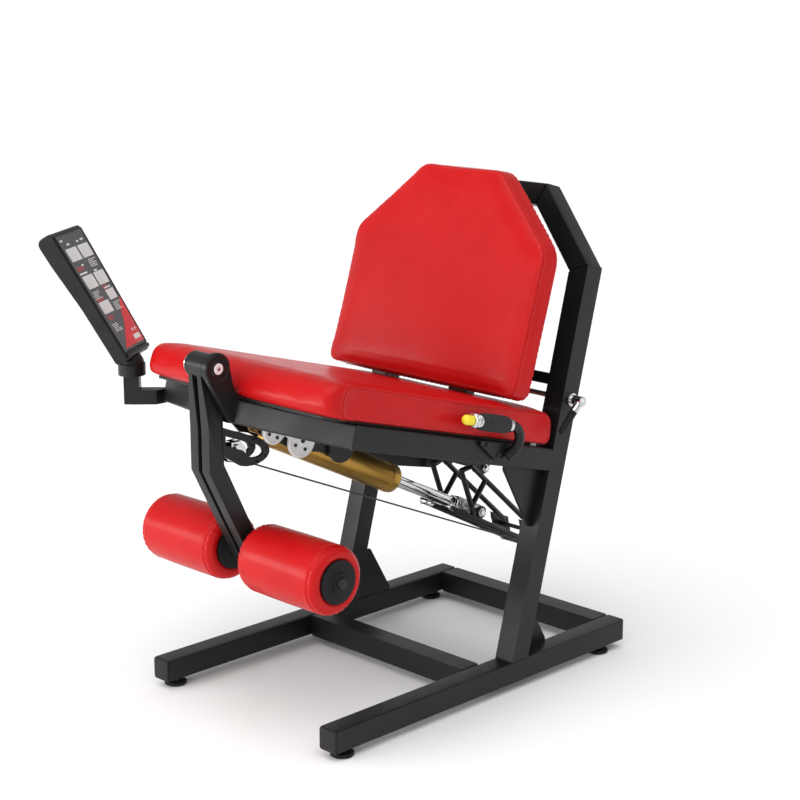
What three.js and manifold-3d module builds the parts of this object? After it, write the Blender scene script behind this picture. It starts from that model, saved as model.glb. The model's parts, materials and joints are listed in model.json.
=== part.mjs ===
// Leg extension machine: a seated knee-extension trainer with a pneumatic cylinder.
// Millimetres, +Z up. The user sits facing -Y, so +X is the user's left.
// Machine frame: x = 0 is the middle, y = 0 the front of the base, z = 0 the underside of
// the base tubes. Everything above the base is drawn in the leaning frame, which is the
// machine frame turned back by LEAN about X.
import * as THREE from "three";
import Module from "manifold-3d";

const wasm = await Module();
wasm.setup();
const { Manifold, Mesh } = wasm;

// ---- driving dimensions ------------------------------------------------------------
const TUBE = 50.8; // two-inch square tube
const EDGE = 5; // its corner radius
const HALF = 298.6; // half the outer width of the frame
const LEAN = THREE.MathUtils.degToRad(15);
const GAP = 0.3; // between pieces that touch
const BASE = { length: 929, crossY: 427 };
const FOOT = { r: 25, h: 18, frontY: 38, rearY: 862 };
const POST = { y: 501.1, bend: 1082.5 }; // leaning frame: front face, outer corner height
const HOOP = { half: 137.5, top: 1250.5 }; // its upper outer corners
const hoopRise = HOOP.top - POST.bend;
const hoopRun = HALF - HOOP.half;
const hoopSlant = Math.hypot(hoopRise, hoopRun);
HOOP.innerBend = POST.bend - TUBE * (hoopSlant - hoopRise) / hoopRun;
HOOP.innerHalf = HOOP.half - TUBE * (hoopSlant - hoopRun) / hoopRise;
const RAIL = { z: 620.6, corner: -120, centre: -210 }; // underside, outer corner, nose
const KNEE = { y: -81, z: 775, plate: 12, hub: 27, eye: 32, axle: 11.5, x: 46 };
const ROLLER = { y: 26, z: 358, r: 75, length: 240, inner: 40, axle: 12, disc: 47 };
const BAR = { x: [5, 31], top: [8, 18], width: 19 }; // lever bars: wide part and top, in x
const CAM = { x: 18.5, t: 7 };
const SHACKLE = { y: 0, z: 565 };
const PIVOT = { y: 686, z: 424 }; // truss arm pivot
const TIP = { y: 889, z: 188 };
const ROD_PIN = { y: 700, z: 310 };
const ANCHOR = { y: 60, z: 624 }; // front pivot of the cylinder
const BARREL = { r: 34, start: 30, end: 438, bore: 14.6 };
const ROD = { r: 14, back: 210 };
const TRUSS = { x: 46, r: 6.3 };
const SEAT = { half: 297, rear: 496, side: -160, nose: -215, z: 678, top: 750 };
const BACK = { half: 297, low: 759, shoulder: 1090, top: 1258, neck: 120, y: 352, t: 55 };
const BACK_LEAN = THREE.MathUtils.degToRad(2.5);
const COLUMN = { half: 30, y: 489, t: 24.7, top: 1060, guides: [930, 1010] };
const HANDLE = { x: 331, tube: 11, z: 712.7, grip: [204.5, 292.5], r: 18 };
const RELEASE = { y: 532, z: 784.7, r: 6, hub: 25 };
const CONSOLE = { x: -349, y: 2.4, z: 724, yaw: 122, tilt: 31, top: 79, foot: 68, l: 313 };

const COLOURS = {
  frame: [0x17181a, 0.42, 0.35],
  lever: [0x1b1c1e, 0.38, 0.35],
  rubber: [0x0d0d0e, 0.85, 0.0],
  vinyl: [0xc41a1f, 0.35, 0.0],
  chrome: [0xc9cbcd, 0.12, 1.0],
  steel: [0x9a9c9f, 0.35, 1.0],
  gold: [0xb98a2d, 0.25, 1.0],
  nylon: [0xeeeeea, 0.45, 0.0],
  board: [0x1a1512, 0.8, 0.0],
  foam: [0x101011, 0.9, 0.0],
  button: [0xe8d24a, 0.4, 0.0],
  housing: [0x2e3032, 0.5, 0.0],
  membrane: [0x55585b, 0.3, 0.0],
};

// ---- geometry helpers --------------------------------------------------------------
const V = (x, y, z) => new THREE.Vector3(x, y, z);
const AXES = {
  // shape plane (first, second) and the direction it is extruded in
  x: [V(0, 1, 0), V(0, 0, 1), V(1, 0, 0)], // (y, z) extruded along x
  y: [V(1, 0, 0), V(0, 0, 1), V(0, -1, 0)], // (x, z) extruded along -y
  z: [V(1, 0, 0), V(0, 1, 0), V(0, 0, 1)], // (x, y) extruded along z
};

const polygon = (points) => new THREE.Shape(points.map(([a, b]) => new THREE.Vector2(a, b)));

const hole = (a, b, r) => new THREE.Path().absarc(a, b, r, 0, 2 * Math.PI, true);

// The outline as points, without any that repeat the one before.
function outlinePoints(points, tolerance = 0.05) {
  return points.filter((p, i) => p.distanceTo(points[(i + points.length - 1) % points.length])
    > tolerance);
}

function tidyShape(shape, curveSegments) {
  const { shape: outer, holes } = shape.extractPoints(curveSegments);
  const points = outlinePoints(outer);
  const tidy = new THREE.Shape(THREE.ShapeUtils.isClockWise(points) ? points.reverse() : points);
  tidy.holes = holes.map((points) => new THREE.Path(outlinePoints(points)));
  return tidy;
}

// A closed prism between `from` and `to` along an axis, with its edges rounded by `round`.
function prism(axis, shape, from, to, round = 0, curveSegments = 5) {
  const length = Math.abs(to - from);
  const geometry = new THREE.ExtrudeGeometry(tidyShape(shape, curveSegments), {
    depth: length - 2 * round,
    bevelEnabled: round > 0,
    bevelThickness: round,
    bevelSize: round,
    bevelOffset: -round,
    bevelSegments: 2,
    curveSegments,
  });
  const [a, b, n] = AXES[axis];
  geometry.translate(0, 0, round);
  geometry.applyMatrix4(new THREE.Matrix4().makeBasis(a, b, n));
  const start = axis === "y" ? Math.max(from, to) : Math.min(from, to);
  geometry.translate(...V(0, 0, 0).setComponent("xyz".indexOf(axis), start).toArray());
  return geometry;
}

// A box given by its limits, with rounded long edges.
function block([x0, x1], [y0, y1], [z0, z1], round = 0) {
  return prism("x", polygon([[y0, z0], [y1, z0], [y1, z1], [y0, z1]]), x0, x1, round);
}

function plateX(points, x0, x1, holes = [], round = 0) {
  const shape = polygon(points);
  holes.forEach(([y, z, r]) => shape.holes.push(hole(y, z, r)));
  return prism("x", shape, x0, x1, round, 8);
}

// A body of revolution about the line from a to b; the profile is [distance along, radius].
function turned(profile, a, b, segments = 24) {
  const geometry = new THREE.LatheGeometry(
    profile.map(([s, r]) => new THREE.Vector2(r, s)), segments);
  const along = b.clone().sub(a).normalize();
  geometry.applyQuaternion(new THREE.Quaternion().setFromUnitVectors(V(0, 1, 0), along));
  return geometry.translate(a.x, a.y, a.z);
}

const rodProfile = (length, r, bevel = 0.6) => [
  [0, 0], [0, r - bevel], [bevel, r], [length - bevel, r], [length, r - bevel], [length, 0]];

function rod(a, b, r, segments = 16) {
  return turned(rodProfile(a.distanceTo(b), r), a, b, segments);
}

// A ring about the x axis through (y, z): outer radius, bore and rounded outer edges.
function ringX(x0, x1, y, z, r, bore, round = 1, segments = 28, steps = 3) {
  const profile = [[0, bore]];
  const length = x1 - x0;
  const corner = (s, sign) => {
    for (let i = 0; i <= steps; i += 1) {
      const t = ((sign < 0 ? i : steps - i) / steps) * (Math.PI / 2);
      profile.push([s + sign * round * Math.cos(t), r - round + round * Math.sin(t)]);
    }
  };
  corner(round, -1);
  corner(length - round, 1);
  profile.push([length, bore], [0, bore]);
  return turned(profile, V(x0, y, z), V(x1, y, z), segments);
}

// ---- joining solids ----------------------------------------------------------------
function toManifold(geometry) {
  const flat = geometry.index ? geometry.toNonIndexed() : geometry;
  const position = flat.getAttribute("position");
  const seen = new Map();
  const points = [];
  const triangles = [];
  for (let i = 0; i < position.count; i += 1) {
    const p = [position.getX(i), position.getY(i), position.getZ(i)];
    const key = p.map((v) => Math.round(v * 1e4)).join();
    if (!seen.has(key)) {
      seen.set(key, points.length / 3);
      points.push(...p);
    }
    triangles.push(seen.get(key));
  }
  const kept = [];
  for (let i = 0; i < triangles.length; i += 3) {
    const [a, b, c] = triangles.slice(i, i + 3);
    if (a !== b && b !== c && a !== c) kept.push(a, b, c);
  }
  return new Manifold(new Mesh({
    numProp: 3, vertProperties: new Float32Array(points), triVerts: new Uint32Array(kept),
  }));
}

function fromManifold(solid) {
  const mesh = solid.getMesh();
  const geometry = new THREE.BufferGeometry();
  geometry.setAttribute("position", new THREE.BufferAttribute(mesh.vertProperties, 3));
  geometry.setIndex(new THREE.BufferAttribute(mesh.triVerts, 1));
  return geometry;
}

const joined = (...parts) => fromManifold(parts.map(toManifold).reduce((a, b) => a.add(b)));
const cut = (part, ...tools) => fromManifold(
  tools.map(toManifold).reduce((a, b) => a.subtract(b), toManifold(part)));

function mirrored(geometry) {
  const flat = geometry.index ? geometry.toNonIndexed() : geometry.clone();
  const position = flat.getAttribute("position");
  for (let i = 0; i < position.count; i += 3) {
    const [a, b, c] = [0, 1, 2].map((k) => V(0, 0, 0).fromBufferAttribute(position, i + k));
    [a, c, b].forEach((p, k) => position.setXYZ(i + k, -p.x, p.y, p.z));
  }
  return flat;
}

// ---- scene graph -------------------------------------------------------------------
const machine = new THREE.Group();
machine.name = "leg_extension_machine";
const leaning = new THREE.Group();
leaning.name = "leaning_frame";
leaning.rotation.x = -LEAN;
machine.add(leaning);

function add(parent, name, colour, geometry) {
  const [color, roughness, metalness] = COLOURS[colour];
  const flat = geometry.index ? geometry.toNonIndexed() : geometry;
  flat.deleteAttribute("uv");
  flat.computeVertexNormals();
  const mesh = new THREE.Mesh(
    flat, new THREE.MeshStandardMaterial({ color, roughness, metalness, flatShading: true }));
  mesh.name = name;
  parent.add(mesh);
  return mesh;
}

const SIDES = [["left", 1], ["right", -1]];
const span = (side, a, b) => (side > 0 ? [a, b] : [-b, -a]);

// Machine-frame (y, z) to leaning-frame (y, z).
const leanPoint = (y, z) => [
  y * Math.cos(LEAN) - z * Math.sin(LEAN), y * Math.sin(LEAN) + z * Math.cos(LEAN)];

// ---- base --------------------------------------------------------------------------
function addBase() {
  const inner = HALF - TUBE - GAP;
  for (const [name, side] of SIDES) {
    add(machine, `base_side_tube_${name}`, "frame",
      block(span(side, HALF - TUBE, HALF), [0, BASE.length], [0, TUBE], EDGE));
    for (const [end, y] of [["front", FOOT.frontY], ["rear", FOOT.rearY]]) {
      const x = side * (HALF - TUBE / 2);
      const foot = turned(
        [[0, 0], [0, FOOT.r - 3], [3, FOOT.r], [8, FOOT.r], [11, FOOT.r * 0.5],
          [FOOT.h - GAP, FOOT.r * 0.5], [FOOT.h - GAP, 0]],
        V(x, y, -FOOT.h), V(x, y, 0));
      add(machine, `foot_${end}_${name}`, "rubber", foot);
    }
  }
  add(machine, "base_rear_tube", "frame",
    block([-inner, inner], [BASE.length - TUBE, BASE.length], [0, TUBE], EDGE));
  add(machine, "base_cross_tube", "frame",
    block([-inner, inner], [BASE.crossY, BASE.crossY + TUBE], [0, TUBE], EDGE));
}

// ---- posts, hoop and rails ---------------------------------------------------------
function postGeometry(side) {
  const foot = (y) => {
    const slope = Math.tan(LEAN);
    return [y, (TUBE + GAP) / Math.cos(LEAN) + y * slope];
  };
  const back = POST.y + TUBE;
  const profile = [foot(POST.y), foot(back), [back, POST.bend], [POST.y, POST.bend]];
  const holes = side > 0 ? [[RELEASE.y, RELEASE.z, RELEASE.r + 0.4]] : [];
  const [x0, x1] = span(side, HALF - TUBE, HALF);
  const middle = side * (HALF - TUBE / 2);
  const seatGusset = plateX(
    [[377, RAIL.z - GAP], [POST.y - 123, RAIL.z - GAP - 10], [POST.y - 8, 492],
      [POST.y + 6, 492], [POST.y + 6, RAIL.z - GAP]], middle - 4, middle + 4);
  const inner = side * (HALF - TUBE + 5);
  const baseGusset = plateX(
    [[580, TUBE + GAP], [692, TUBE + GAP], [692, TUBE + 7], [627, 169], [600, 169]]
      .map(([y, z]) => leanPoint(y, z)), inner - 3.5, inner + 3.5);
  const post = joined(plateX(profile, x0, x1, holes, side > 0 ? 0 : EDGE), seatGusset, baseGusset);
  const drop = (POST.bend - HOOP.innerBend) / TUBE;
  const mitre = [HALF + 9, HALF - TUBE - 9].map(
    (x) => [side * x, POST.bend - GAP + (x - HALF) * drop]);
  const above = prism("y", polygon([...mitre, ...mitre.map(([x]) => [x, POST.bend + 50]).reverse()]),
    POST.y - 10, back + 10);
  return cut(post, above);
}

function addPostsAndHoop() {
  const [y0, y1] = [POST.y, POST.y + TUBE];
  const { innerHalf, innerBend } = HOOP;
  for (const [name, side] of SIDES) {
    add(leaning, `post_${name}`, "frame", postGeometry(side));
    const outline = [[HALF, POST.bend], [HOOP.half, HOOP.top], [innerHalf, HOOP.top - TUBE],
      [HALF - TUBE, innerBend]];
    add(leaning, `back_hoop_${name}`, "frame",
      prism("y", polygon(outline.map(([x, z]) => [side * x, z])), y0, y1, EDGE));
  }
  const top = [
    [-HOOP.half + GAP, HOOP.top], [HOOP.half - GAP, HOOP.top],
    [innerHalf - GAP, HOOP.top - TUBE], [-innerHalf + GAP, HOOP.top - TUBE]];
  add(leaning, "back_hoop_top", "frame", prism("y", polygon(top), y0, y1, EDGE));
}

// Height of the front edge of the V-shaped nose at a distance x from the middle.
const noseY = (x) => RAIL.centre + (RAIL.corner - RAIL.centre) * (x - KNEE.x) / (HALF - KNEE.x);

function addRails() {
  const slope = (RAIL.corner - RAIL.centre) / (HALF - KNEE.x);
  const depth = TUBE * Math.hypot(1, slope); // of the slanted tube, measured along y
  const innerCorner = RAIL.corner - slope * TUBE + depth;
  const [z0, z1] = [RAIL.z, RAIL.z + TUBE];
  for (const [name, side] of SIDES) {
    const mirror = (points) => polygon(points.map(([x, y]) => [side * x, y]));
    add(leaning, `seat_rail_${name}`, "frame", prism("z", mirror([
      [HALF, RAIL.corner + GAP], [HALF, POST.y - GAP], [HALF - TUBE, POST.y - GAP],
      [HALF - TUBE, innerCorner + GAP]]), z0, z1, EDGE));
    const end = KNEE.x + GAP;
    add(leaning, `front_rail_${name}`, "frame", prism("z", mirror([
      [HALF, RAIL.corner], [HALF - TUBE, innerCorner],
      [end, noseY(end) + depth], [end, noseY(end)]]), z0, z1, EDGE));
  }
  const nose = noseY(KNEE.x);
  add(leaning, "front_rail_center", "frame", block(
    [-KNEE.x, KNEE.x - KNEE.plate - GAP], [nose, nose + depth], [z0, z1], EDGE));
  add(leaning, "rear_crossmember", "frame", block(
    [-(HALF - TUBE - GAP), HALF - TUBE - GAP], [POST.y, POST.y + TUBE], [z1 - TUBE / 2, z1], 3));
}

// ---- knee pivot and lever ----------------------------------------------------------
function addKneePlate() {
  const [y, z] = leanPoint(KNEE.y, KNEE.z);
  const shape = new THREE.Shape();
  const eye = (angle) => [y + KNEE.eye * Math.cos(angle), z + KNEE.eye * Math.sin(angle)];
  const rail = RAIL.z + TUBE;
  shape.moveTo(-158, RAIL.z);
  shape.lineTo(-196, RAIL.z);
  shape.quadraticCurveTo(-222, RAIL.z + 2, -236, RAIL.z + 17);
  shape.lineTo(...eye(1.25 * Math.PI));
  shape.absarc(y, z, KNEE.eye, 1.25 * Math.PI, 0.14 * Math.PI, true);
  shape.lineTo(y + 46, z - 22);
  shape.quadraticCurveTo(y + 66, rail + 1, -190, rail);
  shape.lineTo(-158, rail);
  shape.holes.push(hole(y, z, KNEE.axle + 0.3));
  add(leaning, "knee_pivot_plate", "frame",
    prism("x", shape, KNEE.x - KNEE.plate, KNEE.x, 1.5, 8));
  const end = -KNEE.x + 13;
  add(machine, "knee_axle", "chrome", joined(
    rod(V(end, KNEE.y, KNEE.z), V(KNEE.x + 4, KNEE.y, KNEE.z), KNEE.axle, 20),
    rod(V(end - 4, KNEE.y, KNEE.z), V(end + 1, KNEE.y, KNEE.z), KNEE.hub - 6, 20)));
}

// One of the two bars that hang from the hub; it grows wider in x down to the bend.
function leverBar(side) {
  const { y, z, hub } = KNEE;
  const shape = new THREE.Shape();
  shape.moveTo(y - 23, z - 11);
  shape.quadraticCurveTo(-98, 690, -94, 645);
  shape.lineTo(-94, 556);
  const direction = V(0, ROLLER.y + 75, ROLLER.z - 560).normalize();
  const w = BAR.width;
  const edge = [ROLLER.y + direction.z * w, ROLLER.z - direction.y * w];
  const angle = Math.atan2(edge[1] - ROLLER.z, edge[0] - ROLLER.y);
  shape.lineTo(...edge);
  shape.absarc(ROLLER.y, ROLLER.z, w, angle, angle + Math.PI, false);
  shape.lineTo(-56, 569);
  shape.lineTo(-56, 660);
  shape.quadraticCurveTo(-57, 715, y + 22, z - 13);
  shape.holes.push(hole(ROLLER.y, ROLLER.z, ROLLER.axle + 0.6));
  const geometry = prism("x", shape, BAR.x[0], BAR.x[1], 2, 6);
  const position = geometry.getAttribute("position");
  for (let i = 0; i < position.count; i += 1) {
    const t = THREE.MathUtils.clamp((position.getZ(i) - 650) / (z - 650), 0, 1);
    const k = (position.getX(i) - BAR.x[0]) / (BAR.x[1] - BAR.x[0]);
    const low = THREE.MathUtils.lerp(BAR.x[0], BAR.top[0], t);
    const high = THREE.MathUtils.lerp(BAR.x[1], BAR.top[1], t);
    position.setX(i, low + k * (high - low));
  }
  const bar = cut(joined(geometry, camPlate()),
    rod(V(0, y, z), V(BAR.x[1] + 4, y, z), hub + GAP, 32));
  return side > 0 ? bar : mirrored(bar);
}

// The D-shaped plate welded behind a bar, with a row of index holes along its rim.
function camPlate() {
  const shape = new THREE.Shape();
  shape.moveTo(-62, 649);
  shape.lineTo(8, 620);
  shape.bezierCurveTo(52, 608, 72, 590, 70, 572);
  shape.bezierCurveTo(66, 552, 20, 546, -8, 556);
  shape.lineTo(-62, 591);
  const window = new THREE.Path();
  window.moveTo(-47, 626);
  window.lineTo(5, 605);
  window.bezierCurveTo(36, 597, 54, 586, 53, 574);
  window.bezierCurveTo(48, 564, 24, 566, 14, 572);
  window.lineTo(-2, 588);
  window.lineTo(-47, 606);
  shape.holes.push(window);
  const rim = [[27, 607], [46, 598], [60, 583], [57, 566], [36, 558]];
  rim.forEach(([y, z]) => shape.holes.push(hole(y, z, 2.8)));
  return prism("x", shape, CAM.x, CAM.x + CAM.t, 0, 6);
}

function addLever() {
  const { y, z } = KNEE;
  add(machine, "lever_hub", "lever",
    ringX(-KNEE.x + 18, KNEE.x - KNEE.plate - 0.6, y, z, KNEE.hub, KNEE.axle + 0.4, 2, 32));
  for (const [name, side] of SIDES) {
    add(machine, `lever_bar_${name}`, "lever", leverBar(side));
  }
  const pinEnd = CAM.x - 0.4;
  const yoke = plateX(
    [[-20, 606], [2, 606], [20, 586], [16, 566], [2, 558], [-14, 562], [-24, 584]],
    -12, 12, [], 2);
  const pin = rod(V(-pinEnd, -8, 594), V(pinEnd, -8, 594), 6);
  add(machine, "cable_shackle", "chrome", cut(joined(yoke, pin),
    block([-5, 5], [-6, 30], [540, 620])));
  const cableStart = V(0, SHACKLE.y, SHACKLE.z);
  const cableEnd = V(0, TIP.y, TIP.z);
  const length = cableStart.distanceTo(cableEnd);
  add(machine, "resistance_cable", "steel", turned(
    [[0, 0], [0, 4], [26, 4], [30, 2], [length - 44, 2], [length - 40, 4.5],
      [length - 8.4, 4.5], [length - 8.4, 0]], cableStart, cableEnd, 12));
}

function addRollers() {
  const { y, z, r, length, inner, axle, disc } = ROLLER;
  const end = inner + length;
  add(machine, "roller_axle", "steel",
    rod(V(-end - 14, y, z), V(end + 14, y, z), axle, 20));
  for (const [name, side] of SIDES) {
    const [p0, p1] = span(side, inner, end);
    add(machine, `roller_pad_${name}`, "vinyl",
      ringX(p0, p1, y, z, r, axle + 0.5, 24, 32, 4));
    const [d0, d1] = span(side, end + GAP, end + 9);
    add(machine, `roller_disc_${name}`, "rubber",
      ringX(d0, d1, y, z, disc, axle + 0.5, 2, 28, 1));
  }
}

// ---- pneumatic cylinder and truss arm ----------------------------------------------
function addCylinder() {
  const a = V(0, ANCHOR.y, ANCHOR.z);
  const b = V(0, ROD_PIN.y, ROD_PIN.z);
  const total = a.distanceTo(b);
  const { r, start, end, bore } = BARREL;
  const eye = ringX(-16, 16, ANCHOR.y, ANCHOR.z, 15, 8.4, 1.5, 20, 1);
  const neck = turned(rodProfile(start - 8, 12), V(0, 0, 0), V(0, 1, 0), 16);
  const along = b.clone().sub(a).normalize();
  neck.applyQuaternion(new THREE.Quaternion().setFromUnitVectors(V(0, 1, 0), along));
  neck.translate(...a.clone().addScaledVector(along, 12).toArray());
  const tube = turned([
    [start, 0], [start, r - 6], [start + 4, r], [end - 5, r], [end, r - 5], [end, bore],
    [start + 60, bore], [start + 60, 0]], a, b, 36);
  add(machine, "cylinder_barrel", "gold", cut(
    joined(tube, eye, neck),
    rod(V(-20, ANCHOR.y, ANCHOR.z), V(20, ANCHOR.y, ANCHOR.z), 8.4, 20)));
  const rodStart = end - ROD.back;
  const shaft = turned([
    [rodStart, 0], [rodStart, ROD.r - 1], [rodStart + 1, ROD.r], [total - 64, ROD.r],
    [total - 62, ROD.r - 4], [total - 50, ROD.r - 4], [total - 50, 0]], a, b, 24);
  const clevis = turned([
    [total - 58, 0], [total - 58, 15], [total - 40, 15], [total - 38, 19], [total - 24, 20],
    [total + 40, 20], [total + 47, 15], [total + 47, 0]], a, b, 20);
  add(machine, "cylinder_rod", "chrome", cut(
    joined(shaft, clevis),
    rod(V(-25, ROD_PIN.y, ROD_PIN.z), V(25, ROD_PIN.y, ROD_PIN.z), 6.6, 16)));
}

function addCylinderMounts() {
  const [ay, az] = leanPoint(ANCHOR.y, ANCHOR.z);
  const nose = noseY(KNEE.x) + 54.2;
  for (const [name, side] of SIDES) {
    const points = [
      [nose + GAP, RAIL.z + 44], [nose + GAP, RAIL.z + 4], [ay - 12, az - 20],
      [ay + 12, az - 20], [ay + 96, az - 44], [ay + 104, az - 26], [ay + 40, az + 16],
      [ay, az + 26]];
    const plate = plateX(points, ...span(side, 37, 43),
      side > 0 ? [[ay, az, 8.2]] : [], 0);
    const [y, z] = [ay, az];
    const stud = rod(V(-42, y, z), V(44, y, z), 7.8, 20);
    add(leaning, `cylinder_bracket_${name}`, "frame", side > 0 ? plate : joined(plate, stud));
  }
  const disc = (name, y, z, r) => add(leaning, name, "nylon", turned(
    [[0, 0], [0, r - 2], [3, r], [8, r], [10, r - 3], [10, 0]],
    V(44.4, y, z), V(60, y, z), 32));
  disc("anchor_disc", ay + 2, az, 30);
  disc("guide_disc", ay + 84, az - 15, 37);
}

function addTruss() {
  const rods = [];
  const line = (x, p, q, r = TRUSS.r) => rods.push(rod(V(x, ...p), V(x, ...q), r, 8));
  const F = [632, 424];
  const G = [668, 428];
  const U = [715, 385];
  const N = [668, 331];
  const TU = [886, 233];
  const TL = [896, 186];
  for (const x of [-TRUSS.x, TRUSS.x]) {
    line(x, F, G);
    line(x, G, U);
    line(x, U, TU);
    line(x, F, N);
    line(x, N, U);
    line(x, N, [674, 304]);
    line(x, [604, 338], TL, TRUSS.r + 0.7);
    const tip = plateX([[838, 262], [850, 216], [896, 176], [908, 190], [896, 238]],
      x - 3.5, x + 3.5);
    const lug = (y, z, r) => rods.push(rod(V(x - 4, y, z), V(x + 4, y, z), r, 16));
    rods.push(tip);
    lug(PIVOT.y, PIVOT.z, 16);
    lug(ROD_PIN.y, ROD_PIN.z, 15);
  }
  const across = (y, z, r) => rods.push(rod(V(-TRUSS.x, y, z), V(TRUSS.x, y, z), r, 16));
  for (const side of [-1, 1]) {
    rods.push(rod(V(side * 20.6, ROD_PIN.y, ROD_PIN.z), V(side * TRUSS.x, ROD_PIN.y, ROD_PIN.z), 7, 16));
  }
  across(TIP.y, TIP.z, 8);
  across(870, 228, 5);
  add(machine, "truss_arm", "frame", cut(
    joined(...rods),
    rod(V(-70, PIVOT.y, PIVOT.z), V(70, PIVOT.y, PIVOT.z), 6.6, 16)));
}

function addTrussMounts() {
  const [py, pz] = leanPoint(PIVOT.y, PIVOT.z);
  const under = RAIL.z + TUBE / 2 - GAP;
  for (const [name, side] of SIDES) {
    const edge = side > 0
      ? [[262, 598], [py - 42, 592], [py - 16, pz - 9], [py, pz - 14]]
      : [[262, 568], [400, 557], [528, 561], [py - 4, pz - 14]];
    const beam = plateX([
      [262, 612], ...edge, [py + 14, pz - 6],
      [py + 14, pz + 12], [POST.y + TUBE, under], [POST.y, under], [330, 618]],
    ...span(side, 63, 71), side > 0 ? [[py, pz, 6.4]] : [], 0);
    const pin = rod(V(-70, py, pz), V(74, py, pz), 6, 16);
    add(leaning, `truss_beam_${name}`, "frame", side > 0 ? beam : joined(beam, pin));
  }
}

// ---- seat and back -----------------------------------------------------------------
function seatOutline(inset = 0) {
  const half = SEAT.half - inset;
  const shape = new THREE.Shape();
  const front = SEAT.side + inset;
  const nose = SEAT.nose + inset;
  const rear = SEAT.rear - inset;
  const shoulder = nose + 12;
  shape.moveTo(half - 36, rear);
  shape.quadraticCurveTo(half, rear, half, rear - 36);
  shape.lineTo(half, front);
  shape.quadraticCurveTo(half, shoulder + 3, half - 27, shoulder);
  shape.quadraticCurveTo(120, nose, 0, nose);
  shape.quadraticCurveTo(-120, nose, -half + 27, shoulder);
  shape.quadraticCurveTo(-half, shoulder + 3, -half, front);
  shape.lineTo(-half, rear - 36);
  shape.quadraticCurveTo(-half, rear, -half + 36, rear);
  shape.lineTo(-66, rear); // the pad is cut back round the column
  shape.lineTo(-50, rear - 10);
  shape.lineTo(50, rear - 10);
  shape.lineTo(66, rear);
  return shape;
}

function addSeat() {
  add(leaning, "seat_board", "board",
    prism("z", seatOutline(24), RAIL.z + TUBE + GAP, SEAT.z - GAP, 0, 5));
  add(leaning, "seat_pad", "vinyl", prism("z", seatOutline(), SEAT.z, SEAT.top, 16, 6));
}

function backOutline(inset = 0) {
  const { half, low, shoulder, top, neck } = BACK;
  const w = half - inset;
  const k = inset * Math.tan(Math.PI / 8);
  const shape = new THREE.Shape();
  shape.moveTo(-w + 36, low + inset);
  shape.lineTo(w - 36, low + inset);
  shape.quadraticCurveTo(w, low + inset, w, low + inset + 36);
  shape.lineTo(w, shoulder - k);
  shape.lineTo(neck - k, top - inset);
  shape.lineTo(-neck + k, top - inset);
  shape.lineTo(-w, shoulder - k);
  shape.lineTo(-w, low + inset + 36);
  shape.quadraticCurveTo(-w, low + inset, -w + 36, low + inset);
  return shape;
}

function addBack() {
  const pad = new THREE.Group();
  pad.name = "back_pad_group";
  const [y, z] = [BACK.y + BACK.t, (BACK.low + BACK.top) / 2];
  pad.position.set(0, y, z);
  pad.rotation.x = -BACK_LEAN;
  leaning.add(pad);
  const place = (geometry) => geometry.translate(0, -y, -z);
  add(pad, "back_pad", "vinyl",
    place(prism("y", backOutline(), BACK.y, BACK.y + BACK.t, 14, 5)));
  add(pad, "back_board", "board",
    place(prism("y", backOutline(22), BACK.y + BACK.t + GAP, BACK.y + BACK.t + 11, 0, 5)));
  const guides = COLUMN.guides.map((h) => rod(
    V(0, BACK.y + BACK.t + 22, h), V(0, COLUMN.y + COLUMN.t + 92, h), 12.5, 20));
  const start = BACK.y + BACK.t + 17;
  const plate = block([-58, 58], [start, start + 8], [900, 1040], 2);
  add(leaning, "back_slide", "steel", joined(plate, ...guides));
  const { half, top } = COLUMN;
  const face = polygon([[-half, RAIL.z + TUBE + GAP], [half, RAIL.z + TUBE + GAP],
    [half, top], [-half, top]]);
  COLUMN.guides.forEach((h) => face.holes.push(hole(0, h, 13)));
  add(leaning, "back_column", "frame",
    prism("y", face, COLUMN.y, COLUMN.y + COLUMN.t, 0, 8));
  const bar = COLUMN.y + COLUMN.t + GAP;
  add(leaning, "back_cross_bar", "frame",
    block([-(HALF - TUBE - GAP), HALF - TUBE - GAP], [bar, bar + 25], [808, 833], 2));
}

function addRelease() {
  const { y, z, r } = RELEASE;
  const x = HALF + RELEASE.hub;
  const shaft = rod(V(-(HALF - TUBE - GAP), y, z), V(x, y, z), r, 16);
  const boss = rod(V(HALF + 1, y, z), V(x + 9, y, z), 12, 20);
  const direction = V(0, 482 - y, 706 - z).normalize();
  const start = V(x, y, z).addScaledVector(direction, 6);
  const end = V(x, y, z).addScaledVector(direction, 88);
  add(leaning, "release_lever", "steel",
    joined(shaft, boss, rod(start, end, 7.5, 14)));
}

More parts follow.
